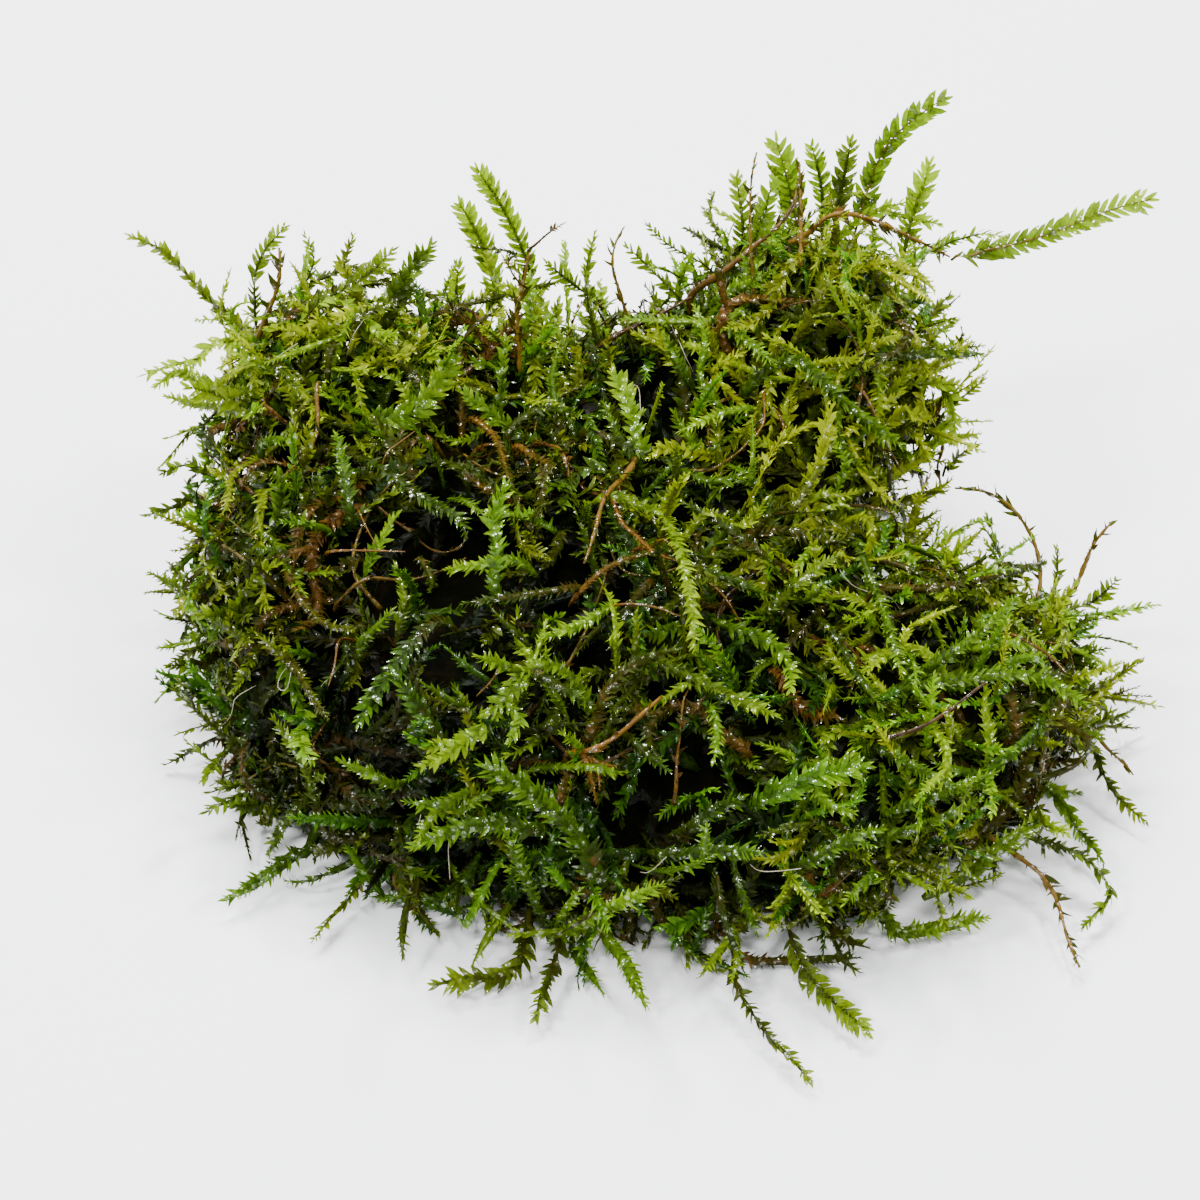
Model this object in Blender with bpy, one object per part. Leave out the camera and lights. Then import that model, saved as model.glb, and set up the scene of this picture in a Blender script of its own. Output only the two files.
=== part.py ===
"""Moss clump: a wad of wet, feather-leaved moss lying on its flattened underside.

Metres, +Z up. The origin is on the underside, below the middle of the clump.
The tangled middle is one solid with a lumpy, stranded surface. Every shoot that stands clear
of it is a solid of its own, with its rows of leaves as teeth, and ends 0.3 mm from what holds it.
"""
import math
import random
from bisect import bisect_right

import bmesh
import bpy
import numpy as np
from mathutils import Matrix, Vector
from mathutils.bvhtree import BVHTree

MM = 0.001
GAP = 0.3 * MM

# The photograph's viewpoint. Routes are given as (pixel across, pixel down, height in mm),
# and each such point lies on its pixel's line of sight at that height.
PICTURE_SIZE = 1200
LENS_PER_SENSOR = 100 / 36
VIEW_ELEVATION = math.radians(45)
VIEW_DISTANCE = 320.5 * MM
VIEW_AIM = Vector((-3.85, 2.0, 14.0)) * MM

TO_VIEWER = Vector((0, -math.cos(VIEW_ELEVATION), math.sin(VIEW_ELEVATION)))
VIEW_RIGHT = Vector((1, 0, 0))
VIEW_UP = TO_VIEWER.cross(VIEW_RIGHT)
VIEWPOINT = VIEW_AIM + VIEW_DISTANCE * TO_VIEWER


def sight(across, down, height):
    """The point at a height, in mm, on the line of sight of a pixel of the photograph."""
    focal = PICTURE_SIZE * LENS_PER_SENSOR
    right = (across - PICTURE_SIZE / 2) / focal
    up = (PICTURE_SIZE / 2 - down) / focal
    ray = right * VIEW_RIGHT + up * VIEW_UP - TO_VIEWER
    return VIEWPOINT + ray * ((height * MM - VIEWPOINT.z) / ray.z)


# The mat: its lobes as (middle, half sizes) in mm, joined smoothly.
MAT_MIDDLE = Vector((-4.0, 4.0, 12.0)) * MM
MAT_LOBES = (
    ((-8, 4, 8), (31, 31, 21)),
    ((-28, 26, 16), (14, 11, 12)),
    ((-8, 24, 14), (15, 11, 12)),
    ((3, 24, 17), (11, 11, 12)),
    ((18, 27, 22), (12, 13, 13)),
    ((13, 27, 9), (11, 12, 10)),
    ((-26, 25, 8), (13, 12, 9)),
    ((11, 9, 11), (13, 14, 14)),
    ((28, -6, 7), (15, 17, 11)),
    ((8, -17, 6), (21, 16, 11)),
    ((-10, -14, 6), (16, 14, 10)),
    ((-24, -6, 6), (16, 13, 10)),
    ((-33, 10, 10), (11, 15, 12)),
)
LOBE_SHARPNESS = 11
LOBE_ROUNDS = 6
LOBE_SEARCH = (4 * MM, 64 * MM, 0.25 * MM)
MAT_FACE = 2.42 * MM

# Dark hollows between the strands, as (x, y, width, depth) in mm.
MAT_HOLLOWS = (
    (-23, -3, 8, 11),
    (6, 6, 6.5, 9),
    (1, -22, 6, 7),
    (13, -15, 6, 7),
    (27, -1, 6, 6),
    (-14, 15, 5, 5),
)

# Strands and tufts on the mat: how many, how far they stand out and how wide they are.
STRANDS = 120
STRAND_RISE = 3.2 * MM
STRAND_WIDTH = 1.7 * MM
STRAND_STEP = 1.2 * MM
STRAND_STEPS = (10, 22)
TUFTS = 110
TUFT_RISE = 3.2 * MM
TUFT_WIDTH = 1.8 * MM
RIM_FLAT = 0.8 * MM
FOLD_EASE = 0.3
MAT_SEED = 11

# A shoot's own sizes.
STEM_RADIUS = 0.34 * MM
ROOT_RADIUS = 0.13 * MM
LEAF_PITCH = 2.3 * MM
KNOB_PITCH = 2.2 * MM
BLADE_HALF_THICKNESS = 0.42 * MM
WAIST = 0.42
TIP_LENGTH = 2.6 * MM
ROUTE_STEP = 0.2 * MM
CLEARING_ROUNDS = 3
FOOT_POINTS = 6

# Leafy shoots: name, half breadth over the leaves in mm, tone, and the route from root to tip.
FRONDS = (
    ("frond_left_long", 1.0, "green",
     ((232, 318, 24), (205, 296, 26), (178, 264, 28), (152, 244, 29), (129, 236, 30))),
    ("frond_left_loop", 1.1, "green", ((258, 325, 26), (254, 285, 30), (262, 254, 33), (287, 225, 35))),
    ("frond_left_curl", 0.9, "green",
     ((296, 306, 26), (306, 282, 29), (315, 258, 31.5), (304, 233, 33.5))),
    ("frond_left_arch", 1.2, "green",
     ((308, 318, 29), (328, 298, 30), (350, 286, 31), (372, 271, 32), (394, 249, 33))),
    ("frond_dark_broad", 1.5, "dark", ((378, 340, 27), (392, 305, 30), (411, 272, 33), (433, 243, 35))),
    ("frond_back_pale", 1.3, "lime", ((458, 322, 22), (456, 292, 26), (459, 261, 29))),
    ("frond_lime_short", 1.5, "lime", ((498, 300, 22), (488, 262, 27), (477, 232, 30), (458, 201, 33))),
    ("frond_lime_tall", 1.4, "lime",
     ((536, 305, 20), (526, 258, 27), (505, 212, 32), (490, 188, 35), (476, 168, 37))),
    ("frond_cross_low", 1.2, "green", ((598, 303, 26), (572, 283, 30), (546, 263, 33))),
    ("frond_middle_right", 1.1, "green",
     ((692, 320, 28), (673, 294, 31), (650, 268, 33), (625, 245, 35))),
    ("frond_middle_bow", 0.8, "green",
     ((730, 286, 30), (702, 263, 33), (668, 245, 35), (645, 222, 37))),
    ("frond_right_lime", 1.3, "lime", ((744, 264, 32), (743, 226, 36), (740, 200, 38), (736, 176, 40))),
    ("frond_right_broad", 1.6, "green",
     ((756, 264, 33), (758, 235, 36), (765, 210, 38), (772, 184, 40))),
    ("frond_right_pale", 1.7, "lime", ((795, 222, 31), (790, 190, 35), (783, 164, 38), (776, 139, 40))),
    ("frond_right_cluster", 1.4, "lime", ((824, 208, 32), (819, 172, 36), (811, 144, 39))),
    ("frond_right_dark", 1.4, "dark", ((838, 205, 36), (845, 172, 39), (851, 140, 42))),
    ("frond_top_right", 1.5, "lime", ((868, 188, 35), (882, 153, 38), (906, 125, 41), (944, 98, 44))),
    ("frond_right_upright", 1.5, "lime",
     ((903, 256, 30), (912, 218, 34), (922, 190, 37), (930, 163, 39))),
    ("frond_right_edge", 1.2, "green", ((885, 353, 27), (915, 351, 28), (952, 344, 29))),
    ("frond_right_olive", 0.9, "dark",
     ((925, 440, 19), (944, 411, 22), (968, 393, 24), (985, 379, 25))),
    ("frond_end_back", 0.9, "green", ((1014, 608, 7), (1005, 572, 9), (984, 539, 10.5))),
    ("frond_end_upright", 1.0, "green", ((1048, 606, 8), (1057, 578, 10), (1057, 546, 12))),
    ("frond_end_spread", 1.1, "green", ((1092, 606, 6), (1104, 593, 8.5), (1118, 579, 11))),
    ("frond_end_long", 0.9, "green",
     ((1070, 624, 5), (1100, 619, 6), (1125, 611, 7), (1149, 605, 7.5))),
    ("frond_end_side", 1.0, "green", ((1078, 724, 6), (1097, 719, 6), (1112, 711, 6.5))),
    ("frond_end_low", 0.9, "green",
     ((1083, 728, 6), (1094, 757, 4), (1110, 786, 2.6), (1130, 809, 1.8), (1148, 823, 1.6))),
    ("frond_arc_low", 0.9, "green",
     ((1030, 838, 5), (1075, 852, 4), (1101, 873, 3), (1112, 896, 2.4), (1096, 913, 2), (1080, 930, 1.7))),
    ("frond_front_straight", 1.5, "green",
     ((1048, 818, 8), (1000, 842, 7), (960, 866, 6), (926, 889, 5))),
    ("frond_front_light", 0.8, "lime", ((954, 890, 3.6), (978, 883, 3.2), (1003, 873, 2.8))),
    ("frond_front_crisp", 1.5, "lime",
     ((888, 936, 2.2), (920, 931, 2), (955, 923, 1.9), (987, 917, 1.9))),
    ("frond_front_right", 1.4, "green",
     ((795, 962, 2.6), (825, 993, 2), (848, 1013, 1.8), (868, 1033, 1.6))),
    ("frond_front_thin", 0.9, "dark",
     ((728, 975, 2.6), (746, 1003, 2), (766, 1033, 1.6), (790, 1058, 1.4), (813, 1083, 1.3))),
    ("frond_front_bright", 1.4, "lime",
     ((606, 930, 4), (622, 953, 3), (633, 978, 2.4), (646, 1007, 2))),
    ("frond_front_olive", 1.1, "dark",
     ((560, 940, 3), (553, 968, 2.4), (543, 992, 2), (535, 1020, 1.7))),
    ("frond_front_spray", 1.4, "dark",
     ((528, 950, 3), (508, 976, 2.3), (473, 978, 2), (432, 985, 1.9))),
    ("frond_left_twig", 0.8, "green",
     ((364, 878, 2.6), (345, 903, 1.8), (327, 922, 1.6), (311, 943, 1.5))),
    ("frond_left_low", 1.3, "green",
     ((330, 828, 4.5), (288, 860, 3), (255, 883, 2.2), (224, 901, 1.9))),
    ("frond_left_strand", 0.9, "green",
     ((376, 842, 4), (335, 870, 2.6), (300, 883, 2), (282, 880, 1.8))),
    ("frond_left_broad", 1.4, "green", ((262, 728, 4.5), (228, 752, 3.5), (202, 781, 2.6))),
    ("frond_left_bright", 1.2, "lime",
     ((236, 612, 12), (205, 632, 11), (180, 645, 10), (157, 648, 9.5))),
    ("frond_left_pair", 1.2, "green", ((206, 500, 18), (175, 507, 18), (144, 516, 17))),
    ("frond_left_wing", 1.2, "green", ((212, 474, 21), (183, 463, 22), (160, 475, 21))),
    ("frond_left_fan", 1.8, "lime", ((250, 402, 23), (216, 393, 24), (188, 387, 25))),
)

# Bare dead stems: name, radius in mm, and the route from root to tip.
STEMS = (
    ("stem_left_loop", 0.42, ((266, 325, 27), (273, 298, 30), (281, 279, 32), (279, 246, 34))),
    ("stem_cross", 0.5, ((512, 338, 27), (519, 302, 30), (525, 275, 32), (529, 252, 34))),
    ("stem_middle_bare", 0.34, ((624, 302, 28), (612, 270, 31), (614, 243, 33), (624, 227, 34))),
    ("stem_right_bare", 0.34, ((751, 256, 37), (750, 200, 41), (752, 172, 43), (757, 151, 44))),
    ("stem_right_upright", 0.4, ((800, 250, 36), (801, 205, 39), (799, 160, 42))),
    ("stem_arch", 0.48, ((818, 212, 38), (860, 215, 38), (905, 234, 37), (950, 257, 36))),
    ("stem_hanging", 0.45, ((918, 358, 27), (924, 400, 22), (929, 440, 17), (941, 484, 12))),
    ("stem_loop_end", 0.4,
     ((1042, 600, 6), (1037, 548, 9), (1012, 507, 12), (982, 490, 13), (953, 488, 12.5))),
    ("stem_orange", 0.4, ((1072, 602, 9), (1084, 566, 12), (1092, 545, 14), (1112, 522, 16))),
    ("stem_end_brown", 0.34, ((1092, 732, 6), (1110, 752, 5), (1125, 763, 4.4), (1134, 776, 4))),
    ("stem_low_brown", 0.42,
     ((1008, 850, 4), (1044, 876, 2.8), (1059, 906, 2), (1068, 941, 1.6), (1080, 968, 1.5))),
)

# Side shoots that start at the end or side of a stem: name, holder, half breadth, tone, route.
BRANCHES = (
    ("frond_long_right", "stem_arch", 1.4, "lime",
     ((954, 258, 36), (978, 251, 36), (1003, 247, 36.5), (1052, 233, 38), (1104, 212, 39), (1151, 199, 40))),
    ("frond_arch_side", "stem_arch", 0.9, "green",
     ((936, 244, 37.5), (962, 239, 39), (986, 232, 40), (1005, 238, 40.5))),
    ("frond_cross_left", "stem_cross", 0.6, "dark",
     ((514, 284, 32.5), (501, 253, 35.5), (467, 247, 36.5))),
    ("frond_cross_right", "stem_cross", 0.6, "dark", ((534, 248, 35), (548, 233, 37), (566, 222, 39))),
    ("frond_right_spray", "stem_hanging", 0.9, "green",
     ((944, 474, 13), (958, 455, 15), (979, 443, 16.5))),
)

# Colours as linear red, green and blue.
TONES = {
    "green": (0.12, 0.24, 0.02),
    "dark": (0.05, 0.11, 0.015),
    "lime": (0.32, 0.5, 0.06),
    "brown": (0.16, 0.08, 0.02),
    "mat": (0.06, 0.13, 0.012),
}


def material(name, tone):
    """A wet, half-matt moss material in one of the tones."""
    made = bpy.data.materials.new(name)
    made.use_nodes = True
    shader = made.node_tree.nodes["Principled BSDF"]
    shader.inputs["Base Color"].default_value = (*TONES[tone], 1)
    shader.inputs["Roughness"].default_value = 0.45
    shader.inputs["Metallic"].default_value = 0
    made.diffuse_color = (*TONES[tone], 1)
    return made


def new_object(name, mesh, tone):
    """Closes the bmesh into an object of its own, with its material."""
    bmesh.ops.recalc_face_normals(mesh, faces=mesh.faces)
    data = bpy.data.meshes.new(name)
    mesh.to_mesh(data)
    mesh.free()
    data.materials.append(material(name, tone))
    made = bpy.data.objects.new(name, data)
    bpy.context.scene.collection.objects.link(made)
    return made


def lobe_field(points):
    """Above 1 inside the joined lobes, 1 on their surface and less outside."""
    total = np.zeros(len(points))
    for middle, half in MAT_LOBES:
        apart = (points / MM - np.array(middle)) / np.array(half)
        total += np.exp(LOBE_SHARPNESS * (1 - np.linalg.norm(apart, axis=1)))
    return total


def lobe_reach(directions):
    """How far the joined lobes reach from the mat's middle, down to the floor, along each direction."""
    middle = np.array(MAT_MIDDLE)
    steps = np.arange(*LOBE_SEARCH)
    reach = np.full(len(directions), steps[0])
    for step in steps:
        reach = np.where(lobe_field(middle + directions * step) >= 1, step, reach)
    return reach


def to_floor(directions):
    """How far the floor is from the mat's middle along each direction, endless where it is missed."""
    down = np.minimum(directions[:, 2], -1e-9)
    return -MAT_MIDDLE.z / down


def lobed_form():
    """The joined lobes with their hollows as a ball of faces drawn out from the mat's middle, flat below."""
    mesh = bmesh.new()
    bmesh.ops.create_icosphere(mesh, subdivisions=LOBE_ROUNDS, radius=1)
    directions = np.array([vert.co.normalized() for vert in mesh.verts])
    middle = np.array(MAT_MIDDLE)
    reach = lobe_reach(directions)
    surface = middle + directions * reach[:, None]
    for x, y, width, depth in MAT_HOLLOWS:
        apart = np.linalg.norm(surface[:, :2] / MM - np.array((x, y)), axis=1) / width
        upward = np.clip(directions[:, 2] * 3, 0, 1)
        reach -= depth * MM * np.exp(-apart * apart) * upward
    reach = np.minimum(reach - STRAND_RISE / 2, to_floor(directions))
    for vert, direction, length in zip(mesh.verts, directions, reach):
        vert.co = Vector(middle + direction * length)
    return mesh


def even_faces(mesh):
    """The same form with faces of one size all over."""
    data = bpy.data.meshes.new("form")
    mesh.to_mesh(data)
    mesh.free()
    form = bpy.data.objects.new("form", data)
    bpy.context.scene.collection.objects.link(form)
    remesh = form.modifiers.new("even", "REMESH")
    remesh.mode = "VOXEL"
    remesh.voxel_size = MAT_FACE
    graph = bpy.context.evaluated_depsgraph_get()
    evened = bmesh.new()
    evened.from_object(form, graph)
    bpy.data.objects.remove(form, do_unlink=True)
    return evened


def strand_points(rng, tree, starts):
    """Places along the strands that wander over the form, each with its strand's rise."""
    points = []
    for _ in range(STRANDS):
        place = rng.choice(starts)
        heading = Vector((rng.uniform(-1, 1), rng.uniform(-1, 1), rng.uniform(-1, 1)))
        bend = rng.uniform(-0.14, 0.14)
        rise = STRAND_RISE * rng.uniform(0.6, 1.2)
        for _ in range(rng.randint(*STRAND_STEPS)):
            place, normal, _, _ = tree.find_nearest(place)
            heading = (heading - normal * heading.dot(normal) + normal.cross(heading) * bend).normalized()
            points.append((place, rise))
            place = place + heading * STRAND_STEP
    return points


def make_mat():
    """The tangled middle: the lobed form with strands and tufts raised on it, flat below."""
    rng = random.Random(MAT_SEED)
    mesh = even_faces(lobed_form())
    mesh.normal_update()
    tree = BVHTree.FromBMesh(mesh)
    places = [vert.co.copy() for vert in mesh.verts]
    above = [place for place in places if place.z > RIM_FLAT]
    surface = np.array(places)
    rise = np.zeros(len(places))
    for point, height in strand_points(rng, tree, above):
        near = np.linalg.norm(surface - np.array(point), axis=1) / STRAND_WIDTH
        rise = np.maximum(rise, height * np.exp(-near * near))
    for _ in range(TUFTS):
        near = np.linalg.norm(surface - np.array(rng.choice(above)), axis=1) / TUFT_WIDTH
        rise = np.maximum(rise, rng.uniform(0.6, 1.2) * TUFT_RISE * np.exp(-near * near))
    for vert, height in zip(mesh.verts, rise):
        if vert.co.z < RIM_FLAT:
            vert.co.z = 0
        else:
            vert.co += vert.normal * height
    upper = [vert for vert in mesh.verts if vert.co.z > 0]
    every_way = {"use_axis_x": True, "use_axis_y": True, "use_axis_z": True}
    bmesh.ops.smooth_vert(mesh, verts=upper, factor=FOLD_EASE, **every_way)
    for vert in mesh.verts:
        vert.co.z = max(vert.co.z, 0)
    underside = [face for face in mesh.faces if all(vert.co.z == 0 for vert in face.verts)]
    bmesh.ops.dissolve_faces(mesh, faces=underside, use_verts=True)
    bmesh.ops.triangulate(mesh, faces=mesh.faces)
    return new_object("moss_mat", mesh, "mat")


def surface_tree(made):
    """A search tree of an object's faces."""
    mesh = bmesh.new()
    mesh.from_mesh(made.data)
    tree = BVHTree.FromBMesh(mesh)
    mesh.free()
    return tree


def off_surface(tree, point):
    """The nearest place of a surface, its normal, and the height of the point above it."""
    place, normal, _, _ = tree.find_nearest(point)
    apart = point - place
    height = apart.length if apart.dot(normal) > 0 else -apart.length
    return place, normal, height


def smooth_route(points):
    """Even points along a smooth curve through the given ones."""
    ends = [2 * points[0] - points[1], *points, 2 * points[-1] - points[-2]]
    fine = []
    for a, b, c, d in zip(ends, ends[1:], ends[2:], ends[3:]):
        for part in range(40):
            t = part / 40
            fine.append(0.5 * (2 * b + (c - a) * t + (2 * a - 5 * b + 4 * c - d) * t * t
                               + (3 * b - a - 3 * c + d) * t * t * t))
    fine.append(points[-1])
    even = [fine[0]]
    for point in fine[1:]:
        while (point - even[-1]).length > ROUTE_STEP:
            even.append(even[-1] + (point - even[-1]).normalized() * ROUTE_STEP)
    return even


def rooted_route(route, tree, clearance):
    """The route from the holder's surface: what lies in the holder is cut off, and the rest clears it."""
    even = smooth_route([sight(*point) for point in route])
    first_half = even[:len(even) // 2]
    inside = [i for i, point in enumerate(first_half) if off_surface(tree, point)[2] < 0.1 * MM]
    even = even[inside[-1] + 1:] if inside else even
    place, normal, _ = off_surface(tree, even[0])
    root = place + normal * (GAP + ROOT_RADIUS)
    for _ in range(CLEARING_ROUNDS):
        even = smoothed([clear_of(tree, point, clearance) for point in even])
    even = [clear_of(tree, point, clearance) for point in even]
    foot = min(len(even), FOOT_POINTS)
    for i in range(foot):
        even[i] = root.lerp(even[i], i / foot)
    return even


def clear_of(tree, point, clearance):
    """The point, or the nearest one that clears the surface and the floor."""
    place, normal, height = off_surface(tree, point)
    if height < clearance:
        point = place + normal * clearance
    return Vector((point.x, point.y, max(point.z, clearance)))


def smoothed(points, rounds=4):
    """The points with their small kinks rubbed out, ends kept."""
    for _ in range(rounds):
        inner = [(a + 2 * b + c) / 4 for a, b, c in zip(points, points[1:], points[2:])]
        points = [points[0], *inner, points[-1]]
    return points


def sweep(name, path, rings, tone):
    """A closed solid along a path: rings of four corners, given as (distance, half width, half thickness)."""
    lengths = [0.0]
    for a, b in zip(path, path[1:]):
        lengths.append(lengths[-1] + (b - a).length)
    mesh = bmesh.new()
    corners = bmesh.ops.create_circle(mesh, cap_ends=True, segments=4, radius=1)["verts"]
    unit = [corner.co.copy() for corner in corners]
    cap = corners[0].link_faces[0]
    for turn, (distance, half_width, half_thickness) in enumerate(rings):
        at = min(bisect_right(lengths, distance), len(path) - 1)
        share = (distance - lengths[at - 1]) / (lengths[at] - lengths[at - 1])
        ahead = (path[min(at + 2, len(path) - 1)] - path[max(at - 3, 0)]).normalized()
        width = ahead.cross(TO_VIEWER).normalized()
        thickness = ahead.cross(width)
        place = Matrix((width * half_width, thickness * half_thickness, ahead)).transposed().to_4x4()
        place.translation = path[at - 1].lerp(path[at], share)
        if turn:
            cap = bmesh.ops.extrude_discrete_faces(mesh, faces=[cap])["faces"][0]
        for corner, flat in zip(cap.verts, unit):
            corner.co = place @ flat
    bmesh.ops.holes_fill(mesh, edges=mesh.edges)
    return new_object(name, mesh, tone)


def frond_rings(length, half_breadth):
    """A leafy shoot's rings: a bare foot, then a waist and a pair of leaf tips for each pair of leaves."""
    foot = max(0.12 * length, 0.8 * MM)
    rings = [(0, ROOT_RADIUS, ROOT_RADIUS), (foot / 2, STEM_RADIUS, STEM_RADIUS)]
    pairs = max(2, round((length - foot) / LEAF_PITCH))
    pitch = (length - foot) / (pairs + 0.2)
    for pair in range(pairs):
        waist = foot + pair * pitch
        breadth = half_breadth * min(1, 0.55 + 0.25 * pair, 0.6 + (length - waist) / TIP_LENGTH / 3)
        rings.append((waist, WAIST * breadth, BLADE_HALF_THICKNESS))
        rings.append((waist + 0.8 * pitch, breadth, 0.8 * BLADE_HALF_THICKNESS))
    rings.append((length, 0.15 * half_breadth, 0.3 * BLADE_HALF_THICKNESS))
    return rings


def stem_rings(length, radius, rng):
    """A bare stem's rings: thin and knobbly where its leaves have rotted off."""
    count = max(4, round(length / KNOB_PITCH))
    rings = [(0, ROOT_RADIUS, ROOT_RADIUS)]
    for i in range(1, count):
        knob = rng.uniform(0.75, 1.2)
        rings.append((length * i / count, radius * knob, radius * knob * 0.9))
    rings.append((length, 0.5 * radius, 0.4 * radius))
    return rings


def path_length(path):
    return sum((b - a).length for a, b in zip(path, path[1:]))


def make_frond(name, half_breadth, tone, route, tree):
    path = rooted_route(route, tree, GAP + half_breadth * MM)
    return sweep(name, path, frond_rings(path_length(path), half_breadth * MM), tone)


def make_stem(name, radius, route, tree, rng):
    path = rooted_route(route, tree, GAP + 1.4 * radius * MM)
    return sweep(name, path, stem_rings(path_length(path), radius * MM, rng), "brown")


for old in list(bpy.data.objects):
    bpy.data.objects.remove(old, do_unlink=True)

mat = make_mat()
mat_tree = surface_tree(mat)
knobs = random.Random(MAT_SEED)
made_stems = {}
for stem_name, stem_radius, stem_route in STEMS:
    made_stems[stem_name] = make_stem(stem_name, stem_radius, stem_route, mat_tree, knobs)
for frond_name, breadth, frond_tone, frond_route in FRONDS:
    make_frond(frond_name, breadth, frond_tone, frond_route, mat_tree)
for frond_name, holder, breadth, frond_tone, frond_route in BRANCHES:
    make_frond(frond_name, breadth, frond_tone, frond_route, surface_tree(made_stems[holder]))
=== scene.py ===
"""Moss clump: the looks of a wad of wet, feather-leaved moss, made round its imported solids."""
import math
from collections import namedtuple
from functools import lru_cache

import bmesh
import bpy
import numpy as np
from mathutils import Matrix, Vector
from mathutils.bvhtree import BVHTree


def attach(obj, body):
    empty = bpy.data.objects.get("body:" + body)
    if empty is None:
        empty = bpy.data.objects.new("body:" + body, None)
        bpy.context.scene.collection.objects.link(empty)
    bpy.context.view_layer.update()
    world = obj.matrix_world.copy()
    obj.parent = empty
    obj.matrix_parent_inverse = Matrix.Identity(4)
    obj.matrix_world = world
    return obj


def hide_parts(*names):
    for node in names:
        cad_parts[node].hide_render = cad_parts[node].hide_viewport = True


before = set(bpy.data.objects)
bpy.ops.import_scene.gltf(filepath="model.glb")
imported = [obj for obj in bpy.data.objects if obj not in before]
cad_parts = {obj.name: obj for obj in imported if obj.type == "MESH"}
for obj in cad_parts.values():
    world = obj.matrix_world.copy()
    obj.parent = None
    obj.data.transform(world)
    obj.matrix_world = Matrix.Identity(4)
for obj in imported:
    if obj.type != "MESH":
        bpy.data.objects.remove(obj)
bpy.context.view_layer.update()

# The viewpoint
# The clump is seen from in front and from half way up, as in the photograph. A place on it that
# is given by its pixel lies on that pixel's line of sight.
MM = 0.001
PICTURE_SIZE = 1200
LENS = 100
SENSOR = 36
AIM = Vector((-3.85, 2.0, 14.0)) * MM
DISTANCE = 320.5 * MM
ELEVATION = math.radians(45)

to_viewer = Vector((0, -math.cos(ELEVATION), math.sin(ELEVATION)))
view_right = Vector((1, 0, 0))
view_up = to_viewer.cross(view_right)
viewpoint = AIM + DISTANCE * to_viewer


def placed(name, data):
    """A new object in the scene."""
    made = bpy.data.objects.new(name, data)
    bpy.context.scene.collection.objects.link(made)
    return made


def sight(across, down):
    """The way from the viewpoint to a pixel of the photograph."""
    focal = PICTURE_SIZE * LENS / SENSOR
    right = (across - PICTURE_SIZE / 2) / focal
    up = (PICTURE_SIZE / 2 - down) / focal
    return (right * view_right + up * view_up - to_viewer).normalized()


camera_data = bpy.data.cameras.new("camera")
camera_data.lens = LENS
camera_data.sensor_width = SENSOR
camera = placed("camera", camera_data)
camera.location = viewpoint
camera.rotation_euler = (math.pi / 2 - ELEVATION, 0, 0)
bpy.context.scene.camera = camera

# The old growth inside the mat, painted near black as shade
# Years of dead brown stems and leaves, packed by their own weight, fill the middle of the clump.
# Their colour is painted near black as the shade deep in the mat, so the gaps look nearly black.
WELD = 0.01 * MM
EASE_ROUNDS = 3
CORE_DEPTH = 4.8 * MM
CORE_SHARE = 0.35
HOLLOW_SINK = 0.3
# How far behind and before the middle a place beside the mat is looked for, in mm.
SEARCH_REACH = 50

# Where the mat opens on its dark inside: the pixel of the middle, and the radius in mm.
HOLLOWS = [
    ((445, 570), 7.2),
    ((450, 650), 5.8),
    ((575, 560), 3.5),
    ((655, 395), 4.0),
    ((655, 790), 3.6),
    ((780, 735), 3.0),
    ((720, 885), 4.5),
    ((930, 625), 3.5),
    ((585, 675), 3.0),
    ((550, 590), 4.0),
    ((360, 690), 3.5),
    ((700, 500), 3.0),
]


class Wire:
    """A shader socket on which sums are written as plain Python, each adding its Math node."""

    def __init__(self, finish, socket):
        self.finish = finish
        self.socket = socket

    def sum(self, operation, first, second):
        return self.finish.node("ShaderNodeMath", {"operation": operation}, {0: first, 1: second})

    def __add__(self, other):
        return self.sum("ADD", self, other)

    def __sub__(self, other):
        return self.sum("SUBTRACT", self, other)

    def __rsub__(self, other):
        return self.sum("SUBTRACT", other, self)

    def __mul__(self, other):
        return self.sum("MULTIPLY", self, other)

    __radd__ = __add__
    __rmul__ = __mul__


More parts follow.
